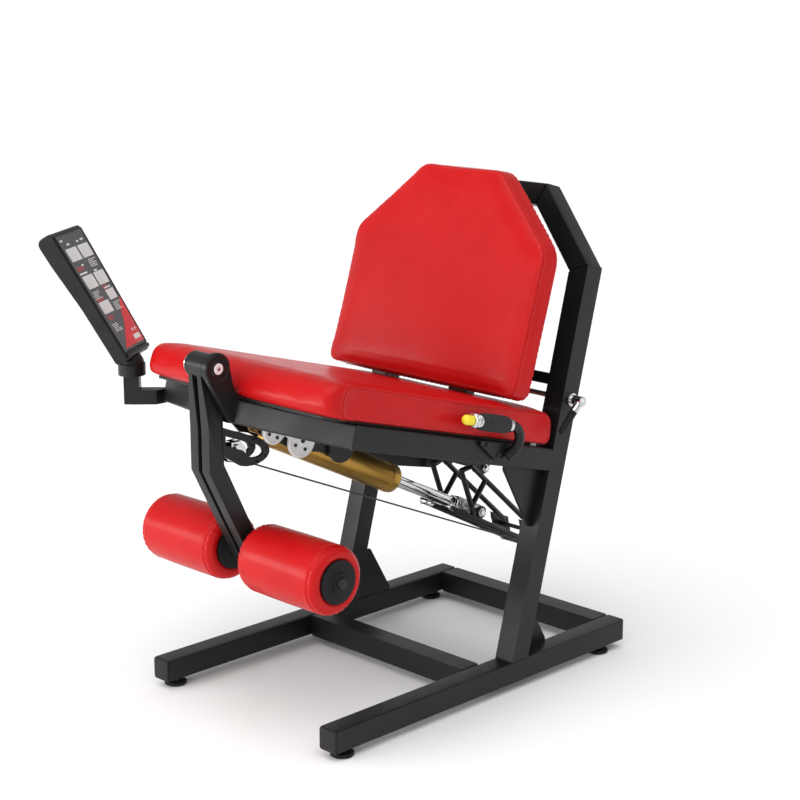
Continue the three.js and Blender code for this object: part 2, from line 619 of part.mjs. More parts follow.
// ---- hand grips with thumb buttons -------------------------------------------------
function addHandles() {
  const { x, tube, z, grip, r } = HANDLE;
  for (const [name, side] of SIDES) {
    const at = (px, y, pz) => V(side * px, y, pz);
    const path = new THREE.CatmullRomCurve3([
      at(x, 208.5, z), at(x, 279, z), at(x, 309, z), at(x, 325, z - 3), at(x - 1, 339, z - 14),
      at(x - 4, 346, z - 36),
      at(x - 10, 342, z - 56), at(x - 16, 332, z - 70)]);
    const circle = new THREE.Shape().absarc(0, 0, tube, 0, 2 * Math.PI, false);
    const bent = new THREE.ExtrudeGeometry(circle, {
      steps: 16, extrudePath: path, curveSegments: 6, bevelEnabled: false });
    const plate = plateX([[249, 671], [359, 671], [359, 662], [318, 634], [303, 634], [249, 662]],
      ...span(side, HALF + GAP, HALF + 9), [], 1);
    add(leaning, `handle_${name}`, "frame", joined(bent, plate));
    const [g0, g1] = grip;
    const sleeve = [
      [0, tube + 0.6], [0, r - 3], [4, r], [44, r + 1], [84, r], [g1 - g0, r - 3],
      [g1 - g0, tube + 0.6], [0, tube + 0.6]];
    add(leaning, `grip_${name}`, "foam", turned(sleeve, at(x, g0, z), at(x, g1, z), 24));
    const fitting = [
      [0, 11.2], [0, 14], [8, 15], [14, 15], [16, 12.5], [26, 12.5], [26, 0],
      [20, 0], [20, 11.2], [0, 11.2]];
    add(leaning, `button_nut_${name}`, "chrome",
      turned(fitting, at(x, g0 - 26, z), at(x, g0, z), 18));
    const cap = [
      [0, 0], [2, 6], [6, 9.4], [12, 10.7], [39, 10.7], [39, 0]];
    add(leaning, `thumb_button_${name}`, "button",
      turned(cap, at(x, g0 - 52, z), at(x, g0, z), 20));
  }
}

// ---- display console ---------------------------------------------------------------
function consoleBracket() {
  const { x, y, z } = CONSOLE;
  const reach = 17; // half the bracket tube
  const c = reach / Math.SQRT2;
  const start = -HALF - GAP;
  const run = start - x;
  const arm = prism("z", polygon([
    [start, y + run - 2 * c], [start, y + run + 2 * c], [x - c, y + c], [x - 2 * c, y],
    [x, y - 2 * c], [x + c, y - c]]), 624, 656, 2);
  const upright = prism("z", polygon([
    [x, y + 2 * c], [x - 2 * c, y], [x, y - 2 * c], [x + 2 * c, y]]), 625, z - 26, 2);
  const collar = rod(V(x, y, z - 36), V(x, y, z - 10), 30, 28);
  return joined(arm, upright, collar);
}

// Side view of the housing as [depth, height]; the front is the flat side at -CONSOLE_FRONT.
const CONSOLE_FRONT = 21;
function consoleProfile() {
  const { l } = CONSOLE;
  const front = -CONSOLE_FRONT;
  const s = new THREE.Shape();
  s.moveTo(front + 10, 0);
  s.quadraticCurveTo(front, 0, front, 10);
  s.lineTo(front, l - 10);
  s.quadraticCurveTo(front, l, front + 10, l);
  s.lineTo(2, l);
  s.quadraticCurveTo(19, l, 19, l - 18);
  s.lineTo(18, l - 60);
  s.quadraticCurveTo(13, l * 0.62, 10, l * 0.45);
  s.lineTo(9, 10);
  s.quadraticCurveTo(9, 0, -1, 0);
  return s;
}

// Narrows a body towards the bottom of the console.
function tapered(geometry) {
  const { top, foot, l } = CONSOLE;
  const position = geometry.getAttribute("position");
  for (let i = 0; i < position.count; i += 1) {
    const t = THREE.MathUtils.clamp(position.getZ(i) / l, 0, 1);
    position.setX(i, position.getX(i) * THREE.MathUtils.lerp(foot / top, 1, t));
  }
  return geometry;
}

function addConsole() {
  const { x, y, z, yaw, tilt, top, l } = CONSOLE;
  add(machine, "console_bracket", "frame", consoleBracket());
  const turn = new THREE.Group();
  turn.name = "console_turn";
  turn.position.set(x, y, z);
  turn.rotation.z = THREE.MathUtils.degToRad(yaw);
  machine.add(turn);
  const panel = new THREE.Group();
  panel.name = "console_panel";
  panel.rotation.x = -THREE.MathUtils.degToRad(tilt);
  turn.add(panel);
  const spigot = rod(V(0, 0, GAP - 10), V(0, 0, 12), 14, 20);
  spigot.rotateX(THREE.MathUtils.degToRad(tilt));
  const shell = tapered(prism("x", consoleProfile(), -top, top, 3, 4));
  add(panel, "console_housing", "housing", joined(shell, spigot));
  const [a, low, high] = [top - 9, 17, l - 10];
  const face = polygon([[-a, low], [a, low], [a, high], [-a, high]]);
  add(panel, "console_face", "membrane",
    tapered(prism("y", face, -CONSOLE_FRONT - GAP, -CONSOLE_FRONT - 1.6)));
}

addBase();
addPostsAndHoop();
addRails();
addKneePlate();
addLever();
addRollers();
addCylinder();
addCylinderMounts();
addTruss();
addTrussMounts();
addSeat();
addBack();
addRelease();
addHandles();
addConsole();

// The row's origin is under the middle of the whole machine, on the floor.
machine.updateMatrixWorld(true);
const box = new THREE.Box3().setFromObject(machine, true);
machine.position.set(-(box.min.x + box.max.x) / 2, -(box.min.y + box.max.y) / 2, -box.min.z);
machine.updateMatrixWorld(true);

export default machine;
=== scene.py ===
import json
import random
from contextlib import contextmanager
from math import atan2, cos, exp, hypot, pi, radians, sin, sqrt, tan
from types import SimpleNamespace as Sizes

import bmesh
import bpy
import numpy as np
from mathutils import Matrix, Vector
from mathutils.bvhtree import BVHTree
from mathutils.kdtree import KDTree


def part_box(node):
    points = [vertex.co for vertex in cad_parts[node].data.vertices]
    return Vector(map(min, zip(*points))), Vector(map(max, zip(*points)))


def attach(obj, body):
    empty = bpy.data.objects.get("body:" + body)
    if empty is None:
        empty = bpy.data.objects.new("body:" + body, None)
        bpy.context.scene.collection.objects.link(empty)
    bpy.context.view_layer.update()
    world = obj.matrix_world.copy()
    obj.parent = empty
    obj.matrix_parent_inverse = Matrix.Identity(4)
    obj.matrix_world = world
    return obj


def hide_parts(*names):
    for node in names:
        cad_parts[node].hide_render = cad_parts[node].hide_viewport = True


# A leg extension machine: its packed steel frame, dressed with paint, vinyl and fittings.
# Lengths are in millimetres in two frames: the machine frame, with y = 0 at the front of
# the base, and the leaning frame, which is the machine frame turned back about X.
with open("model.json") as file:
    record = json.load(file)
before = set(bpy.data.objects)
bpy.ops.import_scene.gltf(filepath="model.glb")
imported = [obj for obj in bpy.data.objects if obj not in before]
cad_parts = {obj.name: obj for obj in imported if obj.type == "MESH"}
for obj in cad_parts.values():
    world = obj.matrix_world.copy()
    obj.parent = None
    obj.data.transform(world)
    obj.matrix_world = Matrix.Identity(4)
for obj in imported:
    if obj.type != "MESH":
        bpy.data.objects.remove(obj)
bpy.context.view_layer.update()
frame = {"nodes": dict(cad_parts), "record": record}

MM = 0.001
LEAN = radians(15)  # of the posts
BACK_LEAN = radians(2.5)  # of the back pad, against the posts
TUBE = 50.8  # the square tube's side
HALF = 298.6  # half the width over the side tubes

left_low, left_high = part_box("base_side_tube_left")
right_low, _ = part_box("base_side_tube_right")
ORIGIN = Vector(((left_high.x + right_low.x) / 2, left_low.y, left_low.z))
MACHINE = Matrix.Translation(ORIGIN) @ Matrix.Scale(MM, 4)
LEANING = MACHINE @ Matrix.Rotation(-LEAN, 4, "X")
SIDES = (("left", 1), ("right", -1))


def lean_point(y, z):
    """Machine-frame (y, z) as leaning-frame (y, z)."""
    return (y * cos(LEAN) - z * sin(LEAN), y * sin(LEAN) + z * cos(LEAN))


def linked(name, data):
    made = bpy.data.objects.new(name, data)
    bpy.context.scene.collection.objects.link(made)
    return made


# ---- camera ----
CAMERA_PLACE = Vector((2857, -2378, 1573.8))
CAMERA_AZIMUTH, CAMERA_ELEVATION = radians(45), radians(13.43)
LENS = 83.59


def add_camera():
    data = bpy.data.cameras.new("photo_view")
    data.lens, data.sensor_width, data.clip_end = LENS, 36, 1000
    camera = linked("photo_view", data)
    camera.location = MACHINE @ CAMERA_PLACE
    camera.rotation_euler = (pi / 2 - CAMERA_ELEVATION, 0, CAMERA_AZIMUTH)
    bpy.context.scene.camera = camera


# ---- materials ----
class Shader:
    """A principled material with a few procedural layers in object space."""

    def __init__(self, name, colour, roughness, metallic=0.0, **sockets):
        self.material = bpy.data.materials.new(name)
        self.material.use_nodes = True
        self.tree = self.material.node_tree
        self.bsdf = self.tree.nodes["Principled BSDF"]
        self.colour, self.roughness = colour, roughness
        self.fill(self.bsdf, Base_Color=(*colour, 1), Roughness=roughness, Metallic=metallic,
                  **sockets)
        self.place = self.node("TexCoord").outputs["Object"]
        self.normal = None
        self.material.diffuse_color = (*colour, 1)

    @staticmethod
    def fill(node, **sockets):
        """Sets sockets, with an underscore for each space in their names."""
        for socket, value in sockets.items():
            node.inputs[socket.replace("_", " ")].default_value = value

    def node(self, kind, vector=None, **sockets):
        node = self.tree.nodes.new("ShaderNode" + kind)
        if vector:
            self.link(vector, node.inputs["Vector"])
        self.fill(node, **sockets)
        return node

    def link(self, out, into):
        self.tree.links.new(out, into)

    def stretched(self, scale):
        return self.node("Mapping", self.place, Scale=scale).outputs["Vector"]

    def noise(self, size, detail=3.0, vector=None):
        """Noise with features about `size` metres across."""
        return self.node("TexNoise", vector or self.place, Scale=1 / size,
                         Detail=detail).outputs["Fac"]

    def cells(self, size, feature="DISTANCE_TO_EDGE"):
        cells = self.node("TexVoronoi", self.place, Scale=1 / size)
        cells.feature = feature
        return cells.outputs["Distance"]

    def spread(self, value, low, high, start=0.3, end=0.7):
        """Maps value from start..end to low..high."""
        spread = self.node("MapRange", From_Min=start, From_Max=end, To_Min=low, To_Max=high)
        self.link(value, spread.inputs["Value"])
        return spread.outputs["Result"]

    def tone(self, size, other, share=1.0):
        """Drifts the colour towards another one in patches."""
        mix = self.node("Mix")
        mix.data_type = "RGBA"
        self.link(self.spread(self.noise(size), 0, share), mix.inputs["Factor"])
        mix.inputs["A"].default_value = (*self.colour, 1)
        mix.inputs["B"].default_value = (*other, 1)
        self.link(mix.outputs["Result"], self.bsdf.inputs["Base Color"])
        return self

    def polish(self, size, spread, detail=3.0, vector=None):
        """Drifts the roughness."""
        value = self.spread(self.noise(size, detail, vector), self.roughness - spread,
                            self.roughness + spread)
        self.link(value, self.bsdf.inputs["Roughness"])
        return self

    def relief(self, height, strength, depth):
        bump = self.node("Bump", Strength=strength, Distance=depth)
        self.link(height, bump.inputs["Height"])
        if self.normal:
            self.link(self.normal, bump.inputs["Normal"])
        self.normal = bump.outputs["Normal"]
        self.link(self.normal, self.bsdf.inputs["Normal"])
        return self


def paint(name, colour, other):
    """Satin powder coat with a fine orange peel."""
    s = Shader(name, colour, 0.36, Specular_IOR_Level=0.27)
    s.tone(0.18, other).polish(0.05, 0.05)
    return s.relief(s.noise(0.0016, 2), 0.10, 0.0006).material


def vinyl(name, colour, other):
    """Glossy upholstery vinyl: pebbled grain over slow hollows."""
    s = Shader(name, colour, 0.36, Specular_IOR_Level=0.16, Coat_Weight=0.04,
               Coat_Roughness=0.16)
    s.tone(0.10, other, 0.8).polish(0.03, 0.05)
    s.relief(s.noise(0.05, 2), 0.25, 0.0025)
    s.relief(s.cells(0.0014), 0.10, 0.0003)
    return s.relief(s.noise(0.0006, 2), 0.08, 0.0002).material


def metal(name, colour, roughness, grain=(1, 1, 1), size=0.004, depth=0.00008):
    s = Shader(name, colour, roughness, 1.0)
    lines = s.stretched(grain)
    s.polish(size, roughness * 0.35, 4, lines)
    return s.relief(s.noise(size / 3, 4, lines), 0.25, depth).material


def anodised(name, colour):
    """Dyed aluminium tube with a very fine drawn grain."""
    s = Shader(name, colour, 0.32, 1.0)
    s.tone(0.25, tuple(c * 0.86 for c in colour)).polish(0.06, 0.03)
    return s.relief(s.noise(0.0009, 2), 0.05, 0.00002).material


def plastic(name, colour, roughness, other=None, grain=0.0007, depth=0.0002, specular=0.5):
    s = Shader(name, colour, roughness, Specular_IOR_Level=specular)
    s.tone(0.04, other or tuple(c * 1.25 for c in colour)).polish(0.02, 0.04)
    return s.relief(s.noise(grain, 2), 0.35, depth).material


def foam(name):
    """Closed-cell grip foam."""
    s = Shader(name, (0.010, 0.010, 0.011), 0.78)
    s.tone(0.01, (0.018, 0.018, 0.019))
    return s.relief(s.cells(0.0011, "F1"), 0.5, 0.0005).material


def board(name):
    s = Shader(name, (0.016, 0.015, 0.014), 0.7)
    s.tone(0.06, (0.03, 0.027, 0.024))
    return s.relief(s.noise(0.002, 5, s.stretched((1, 0.2, 1))), 0.3, 0.0004).material


def stone_floor(name):
    s = Shader(name, (0.93, 0.93, 0.93), 0.6, Specular_IOR_Level=0.0)
    s.tone(1.6, (0.945, 0.945, 0.945)).polish(0.6, 0.03)
    return s.material


PAINT = paint("black_paint", (0.0065, 0.0067, 0.0071), (0.0095, 0.0097, 0.0102))
LEVER_PAINT = paint("lever_paint", (0.010, 0.0102, 0.0108), (0.014, 0.0142, 0.0148))
VINYL = vinyl("red_vinyl", (0.47, 0.0045, 0.0055), (0.52, 0.007, 0.008))
# red thread, lightened above the vinyl's red as a painted highlight on the stitches
THREAD_PAINTED_HIGHLIGHT = plastic("red_thread_painted_highlight", (0.62, 0.035, 0.035), 0.45, (0.70, 0.05, 0.05), 0.0004)
GOLD = anodised("gold_anodised", (0.50, 0.285, 0.060))
CHROME = metal("chrome", (0.62, 0.62, 0.63), 0.09, size=0.01, depth=0.00002)
STEEL = metal("zinc_steel", (0.42, 0.425, 0.43), 0.34, size=0.02, depth=0.00001)
ROPE = metal("rope_steel", (0.11, 0.11, 0.115), 0.42, (0.15, 1, 1), 0.002, 0.0002)
RUBBER = plastic("black_rubber", (0.008, 0.008, 0.009), 0.62, specular=0.2)
FOAM = foam("grip_foam")
BOARD = board("backing_board")
NYLON = plastic("white_nylon", (0.88, 0.88, 0.87), 0.3, (0.93, 0.93, 0.92))
YELLOW = plastic("yellow_plastic", (0.88, 0.70, 0.022), 0.28, (0.92, 0.76, 0.05))
HOUSING = plastic("housing_plastic", (0.014, 0.0145, 0.0155), 0.40, (0.019, 0.0195, 0.0205),
                  0.0009, 0.0003, 0.16)
MEMBRANE = plastic("membrane", (0.055, 0.057, 0.060), 0.30, None, 0.0012, 0.00005, 0.3)
LCD = plastic("display_window", (0.66, 0.67, 0.67), 0.18, (0.62, 0.63, 0.63), 0.002, 0.00002)
PRINT = plastic("white_print", (0.62, 0.62, 0.61), 0.4, grain=0.002, depth=0.00002)
RED_PRINT = plastic("red_print", (0.55, 0.022, 0.028), 0.34, grain=0.002, depth=0.00002)
# pale bearing cap tinted pink: the pink is a painted reflection of the red pad beside it
CAP_PAINTED_PINK_REFLECTION = plastic("bearing_cap", (0.80, 0.64, 0.63), 0.3, (0.84, 0.70, 0.69))

# ---- mesh helpers ----
# A shape is (points, faces), in millimetres.


def circle(centre, side, up, r, count):
    turns = [2 * pi * k / count for k in range(count)]
    return [centre + (side * cos(turn) + up * sin(turn)) * r for turn in turns]


def band(i, j, n):
    """The faces between the loops of n points that start at i and at j."""
    return [(i + k, i + (k + 1) % n, j + (k + 1) % n, j + k) for k in range(n)]


def lathe(profile, a, b, segments=48):
    """A body of revolution about a..b from (distance along, radius) pairs."""
    a, b = Vector(a), Vector(b)
    axis = (b - a).normalized()
    side = axis.orthogonal().normalized()
    up = axis.cross(side)
    points, rings, faces = [], [], []
    for s, r in profile:
        count = segments if r > 1e-6 else 1
        rings.append((len(points), count))
        points += circle(a + axis * s, side, up, r, count)
    for (i, m), (j, n) in zip(rings, rings[1:]):
        if m > 1 and n > 1:
            faces += band(i, j, n)
        elif m > 1:
            faces += [(i + k, i + (k + 1) % m, j) for k in range(m)]
        elif n > 1:
            faces += [(i, j + (k + 1) % n, j + k) for k in range(n)]
    return points, faces


def bar(a, b, r, segments=24, bevel=0.6, bore=0):
    """A rod from a to b with rounded rims."""
    length = (Vector(b) - Vector(a)).length
    rim = [(0, r - bevel), (bevel * 0.3, r - bevel * 0.3), (bevel, r)]
    profile = [(0, bore), *rim, *((length - s, q) for s, q in reversed(rim)), (length, bore)]
    return lathe(profile + ([(0, bore)] if bore else []), a, b, segments)


def ring(a, b, r, bore, bevel=0.8, segments=48):
    """A washer or collar from a to b."""
    return bar(a, b, r, segments, bevel, bore)


def lathe_x(profile, x, y, z, way=1, segments=48):
    """A body of revolution that starts at x and runs along X, to the left or (-1) right."""
    return lathe(profile, (x, y, z), (x + way, y, z), segments)


def smooth_path(points, steps):
    """A Catmull-Rom curve through the points."""
    points = [Vector(p) for p in points]
    ends = [points[0] * 2 - points[1]] + points + [points[-1] * 2 - points[-2]]
    out = []
    for i in range(1, len(ends) - 2):
        p0, p1, p2, p3 = ends[i - 1:i + 3]
        for k in range(steps):
            t = k / steps
            out.append(((p1 * 2) + (p2 - p0) * t + (p0 * 2 - p1 * 5 + p2 * 4 - p3) * t * t
                        + (p1 * 3 - p0 - p2 * 3 + p3) * t ** 3) / 2)
    return out + [points[-1]]


def tube(path, radius, segments=16, closed=False):
    """A round tube along a path; radius is a number or a function of the share along it."""
    path = [Vector(p) for p in path]
    size = radius if callable(radius) else (lambda share: radius)
    count, side = len(path), None
    points, faces = [], []
    for i, p in enumerate(path):
        before = path[i - 1] if (i or closed) else p
        after = path[(i + 1) % count] if (i < count - 1 or closed) else p
        along = (after - before).normalized()
        side = (side or along.orthogonal()) - along * (side or along.orthogonal()).dot(along)
        side.normalize()
        points += circle(p, side, along.cross(side), size(i / (count - 1)), segments)
    for i in range(count if closed else count - 1):
        faces += band(i * segments, (i + 1) % count * segments, segments)
    if not closed:
        faces.append(tuple(reversed(range(segments))))
        faces.append(tuple(range((count - 1) * segments, count * segments)))
    return points, faces


def loft(sections):
    """A closed skin over loops with the same number of points."""
    n, last = len(sections[0]), len(sections) - 1
    points = [Vector(p) for loop in sections for p in loop]
    faces = [face for i in range(last) for face in band(i * n, (i + 1) * n, n)]
    return points, faces + [tuple(reversed(range(n))), tuple(range(last * n, last * n + n))]


def slab(x, y, z):
    return loft([[(x[0], y[0], h), (x[1], y[0], h), (x[1], y[1], h), (x[0], y[1], h)] for h in z])


def hexagon(a, b, r, twist=0.0):
    """A bolt head or nut from a to b, with its corners eased."""
    length = (Vector(b) - Vector(a)).length
    points, faces = lathe([(0, 0), (0, r * 0.96), (r * 0.08, r), (length - r * 0.16, r),
                           (length, r * 0.86), (length, 0)], a, b, 6)
    if twist:
        axis = (Vector(b) - Vector(a)).normalized()
        turn = Matrix.Rotation(twist, 3, axis)
        points = [Vector(a) + turn @ (p - Vector(a)) for p in points]
    return points, faces


def joined(shapes):
    points, faces = [], []
    for some, more in shapes:
        start = len(points)
        points += some
        faces += [tuple(i + start for i in face) for face in more]
    return points, faces


@contextmanager
def edited(mesh):
    """The mesh as a bmesh, which is written back at the end."""
    bm = bmesh.new()
    bm.from_mesh(mesh)
    yield bm
    bm.to_mesh(mesh)
    bm.free()


def mesh_of(name, shape, place=None):
    points, faces = shape
    mesh = bpy.data.meshes.new(name)
    mesh.from_pydata([tuple(place @ p if place else p) for p in points], [], faces)
    return mesh


SMOOTH_BELOW = 38  # degrees between faces that shade as one


def smooth_shading(mesh, angle):
    mesh.polygons.foreach_set("use_smooth", [True] * len(mesh.polygons))
    mesh.set_sharp_from_angle(angle=radians(angle))


def finished(name, mesh, material, body, replaces=()):
    """Links a mesh as a piece that rides on a body."""
    mesh.materials.clear()
    mesh.materials.append(material)
    piece = linked(name, mesh)
    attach(piece, body)
    if replaces:
        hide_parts(*replaces)
    return piece


def eased(bm, width, angle=35):
    """Rounds every edge sharper than the angle."""
    edges = [e for e in bm.edges if len(e.link_faces) == 2
             and e.calc_face_angle(0) > radians(angle)]
    if edges and width > 0:
        bmesh.ops.bevel(bm, geom=edges, offset=width, segments=2, profile=0.6,
                        affect="EDGES", clamp_overlap=True)


def piece(name, shapes, material, body="frame", place=MACHINE, replaces=(), ease=0.0,
          angle=SMOOTH_BELOW):
    """One object made of shapes in millimetres, in the given frame."""
    mesh = mesh_of(name, joined(shapes))
    with edited(mesh) as bm:
        bmesh.ops.remove_doubles(bm, verts=bm.verts, dist=0.002)
        eased(bm, ease)
        bmesh.ops.recalc_face_normals(bm, faces=bm.faces)
        bmesh.ops.transform(bm, matrix=place, verts=bm.verts)
    smooth_shading(mesh, angle)
    return finished(name, mesh, material, body, replaces)


NODE_BODY = {n: b for b, ns in frame["record"]["behaviour"]["bodies"].items() for n in ns}


def dressed(node, material, ease=0.0):
    """The CAD node's own shape with eased, smooth-shaded edges."""
    mesh = frame["nodes"][node].data.copy()
    mesh.name = node + "_skin"
    with edited(mesh) as bm:
        bmesh.ops.remove_doubles(bm, verts=bm.verts, dist=2e-5)
        bmesh.ops.dissolve_limit(bm, angle_limit=radians(1.5), verts=bm.verts, edges=bm.edges)
        eased(bm, ease * MM, 50)
        bmesh.ops.recalc_face_normals(bm, faces=bm.faces)
        for layer in list(bm.loops.layers.uv):
            bm.loops.layers.uv.remove(layer)
    if "custom_normal" in mesh.attributes:
        mesh.attributes.remove(mesh.attributes["custom_normal"])
    smooth_shading(mesh, SMOOTH_BELOW)
    skin = finished(node + "_skin", mesh, material, NODE_BODY[node], [node])
    weights = skin.modifiers.new("flat_faces", "WEIGHTED_NORMAL")
    weights.keep_sharp = True
    return skin


# ---- padded pieces ----
def reworked(mesh, *steps):
    """The mesh after modifiers, each given as its kind and settings."""
    scratch = linked("scratch", mesh)
    for kind, settings in steps:
        modifier = scratch.modifiers.new(kind, kind)
        for key, value in settings.items():
            setattr(modifier, key, value)
    out = bpy.data.meshes.new_from_object(
        scratch.evaluated_get(bpy.context.evaluated_depsgraph_get()))
    bpy.data.objects.remove(scratch)
    return out


def vectors(items, key="co"):
    out = np.empty(len(items) * 3, np.float32)
    items.foreach_get(key, out)
    return out.reshape(-1, 3).astype(float)


def moved(mesh, co):
    mesh.vertices.foreach_set("co", co.astype(np.float32).ravel())
    mesh.update()


def calmed(mesh, shift, rounds):
    """The shift of each point, averaged with its neighbours' so that the skin stays taut."""
    edges = np.empty(len(mesh.edges) * 2, np.int32)
    mesh.edges.foreach_get("vertices", edges)
    ends = edges.reshape(-1, 2)
    count = np.bincount(edges, minlength=len(shift))[:, None]
    for _ in range(rounds):
        total = np.stack([np.bincount(ends.ravel(), shift[ends[:, ::-1].ravel(), k], len(shift))
                          for k in range(3)], axis=1)
        shift = 0.5 * shift + 0.5 * total / count
    return shift


PUFF_FRAMES = 20


def inflated(mesh, place, held, pressure, cap, rounds):
    """The cloth skin blown up, with no point moved further than cap metres. held(point) says
    which points stay, in millimetres in the given frame."""
    scene = bpy.context.scene
    puff = linked("puff", mesh)
    start, back = vectors(mesh.vertices), place.inverted()
    group = puff.vertex_groups.new(name="held")
    group.add([i for i, p in enumerate(start) if held(back @ Vector(p))], 1.0, "REPLACE")
    cloth = puff.modifiers.new("cloth", "CLOTH")
    settings = cloth.settings
    settings.vertex_group_mass = "held"
    settings.quality, settings.mass = 4, 0.4
    settings.tension_stiffness = settings.compression_stiffness = 25
    settings.shear_stiffness, settings.bending_stiffness = 15, 6
    settings.use_pressure, settings.uniform_pressure_force = True, pressure
    settings.effector_weights.gravity = 0
    cloth.point_cache.frame_start, cloth.point_cache.frame_end = 1, PUFF_FRAMES
    for number in range(1, PUFF_FRAMES + 1):
        scene.frame_set(number)
    after = puff.evaluated_get(bpy.context.evaluated_depsgraph_get()).to_mesh()
    shift = vectors(after.vertices) - start
    length = np.linalg.norm(shift, axis=1, keepdims=True)
    shift = calmed(mesh, shift * np.minimum(1, cap / np.maximum(length, 1e-9)), rounds)
    bpy.data.objects.remove(puff)
    scene.frame_set(1)
    moved(mesh, start + shift)
    return mesh


class Seam:
    """A sewn line: a closed path in millimetres, resampled to about 2 mm."""

    def __init__(self, path):
        self.points, self.along, length = [], [], 0.0
        pts = [np.array(p, float) for p in path]
        for a, b in zip(pts, pts[1:] + pts[:1]):
            gap = np.linalg.norm(b - a)
            steps = max(1, int(gap / 2))
            for k in range(steps):
                self.points.append(a + (b - a) * k / steps)
                self.along.append(length + gap * k / steps)
            length += gap
        self.tree = KDTree(len(self.points))
        for i, p in enumerate(self.points):
            self.tree.insert(p, i)
        self.tree.balance()

    def nearest(self, p):
        """How far p is from the line, and how far along it the nearest point is."""
        _, index, distance = self.tree.find(p)
        return distance, self.along[index]


SEAM_REACH = 40  # mm, beyond which a seam presses nothing


def sew(mesh, seams, place, gather, seed, depth=2.2, width=2.6, ridge=1.1):
    """Presses each seam into a mesh as a groove between two soft ridges. gather(point) is how
    strongly the skin is gathered there, in millimetres in the given frame."""
    co, normals = vectors(mesh.vertices), vectors(mesh.vertex_normals, "vector")
    back = place.inverted()
    rng = random.Random(seed)
    phases = [rng.uniform(0, 6.28) for _ in range(6)]
    out = co.copy()
    for i, p in enumerate(co):
        local = back @ Vector(p)
        push = 0.0
        for number, seam in enumerate(seams):
            d, s = seam.nearest(local)
            if d > SEAM_REACH:
                continue
            push -= depth * exp(-((d / width) ** 2))
            push += ridge * exp(-(((d - 2.6 * width) / (1.4 * width)) ** 2))
            amount = gather(local)
            if amount > 0:
                wave = sin(s / 2.3 + phases[number % 6] + 0.8 * sin(s / 17))
                slow = 0.5 + 0.5 * sin(s / 61 + phases[(number + 2) % 6])
                push += amount * slow * wave * 0.9 * exp(-d / 9)
        out[i] += normals[i] * push * MM
    moved(mesh, out)


def add_cover(name, shape, place, body, node, held, seams, gather, seed,
              voxel=0.0056, smoothing=4, puff=(4.0, 0.007, 36), **sewing):
    """A padded piece: its closed shape remeshed, blown up and sewn. Returns its mesh. puff is
    the pressure, the cap in metres and the rounds of calming."""
    mesh = mesh_of(name, shape, place)
    mesh = reworked(mesh, ("REMESH", {"mode": "VOXEL", "voxel_size": voxel}),
                    ("SMOOTH", {"factor": 0.5, "iterations": smoothing}))
    mesh = reworked(inflated(mesh, place, held, *puff),
                    ("SUBSURF", {"levels": 1, "render_levels": 1}))
    sew(mesh, seams, place, gather, seed, **sewing)
    smooth_shading(mesh, 80)
    cover = finished(name, mesh, VINYL, body, [node])
    return mesh


def skin_of(mesh):
    """A lookup of the nearest point on a mesh."""
    bm = bmesh.new()
    bm.from_mesh(mesh)
    tree = BVHTree.FromBMesh(bm)
    bm.free()
    return tree


def stitches(name, mesh, paths, body, place, pitch=7.0, length=4.4, r=0.55):
    """Rows of short threads on the skin of a mesh, along closed paths in millimetres."""
    skin, back = skin_of(mesh), place.inverted()
    shapes = []
    for path in paths:
        pts = [Vector(p) for p in path]
        carried = 0.0
        for a, b in zip(pts, pts[1:] + pts[:1]):
            gap = (b - a).length
            if gap < 1e-6:
                continue
            along = (b - a) / gap
            while carried < gap:
                ends = []
                for shift, lift in ((-0.5, -0.2), (-0.3, 0.8), (0, 1.1), (0.3, 0.8), (0.5, -0.2)):
                    spot, normal, _, _ = skin.find_nearest(
                        place @ (a + along * (carried + shift * length)))
                    ends.append(back @ (spot + normal * lift * r * MM))
                shapes.append(tube(ends, r, 6))
                carried += pitch
            carried -= gap
    # the threads take the lightened red, whose extra brightness is a painted highlight
    return piece(name, shapes, THREAD_PAINTED_HIGHLIGHT, body, place, angle=60)


def piping(name, mesh, paths, body, place, r=1.3):
    """Thin cords half sunk in the skin of a mesh, along closed paths in millimetres."""
    skin, back = skin_of(mesh), place.inverted()
    shapes = []
    for path in paths:
        seam = Seam(path)
        spots = [back @ skin.find_nearest(place @ Vector(p))[0] for p in seam.points[::3]]
        shapes.append(tube(spots + spots[:1], r, 8))
    return piece(name, shapes, VINYL, body, place, angle=80)


# ---- seat pad ----
# radii are the corners of rounded_loop; SEAT_FRONT is the front edge's (x, y) on one side.
SEAT = Sizes(half=295, rear=495, low=678, top=747, radii=(22, 14, 26, 30))
SEAT_FRONT = ((0, -214), (60, -213.5), (120, -211.5), (180, -207.5), (230, -202.5), (262, -198),
              (278, -193), (289, -184), (295, -170))


def seat_front(x):
    return float(np.interp(abs(x), *zip(*SEAT_FRONT)))


def rounded_loop(y0, y1, z0, z1, radii, steps=8):
    """A rectangle in (y, z) with corner radii (low front, low rear, top rear, top front)."""
    corners = ((y0, z0, 1, 1), (y1, z0, -1, 1), (y1, z1, -1, -1), (y0, z1, 1, -1))
    out = []
    for number, ((y, z, sy, sz), r) in enumerate(zip(corners, radii)):
        start = pi * (1 + number / 2)
        for k in range(steps + 1):
            turn = start + pi / 2 * k / steps
            out.append((y + sy * r + r * cos(turn), z + sz * r + r * sin(turn)))
    return out


def seat_rear(x):
    """The rear edge, cut back round the column in the middle."""
    return SEAT.rear - 10 * min(1.0, max(0.0, (72 - abs(x)) / 22))


def seat_sides(out, inset=0.0):
    """The outlines of both side panels, out mm from the middle."""
    loop = rounded_loop(SEAT_FRONT[-1][1] + 10 + inset, SEAT.rear - inset,
                        SEAT.low + inset * 0.5, SEAT.top - inset, SEAT.radii)
    return [[(side * out, y, z) for y, z in loop] for side in (1, -1)]


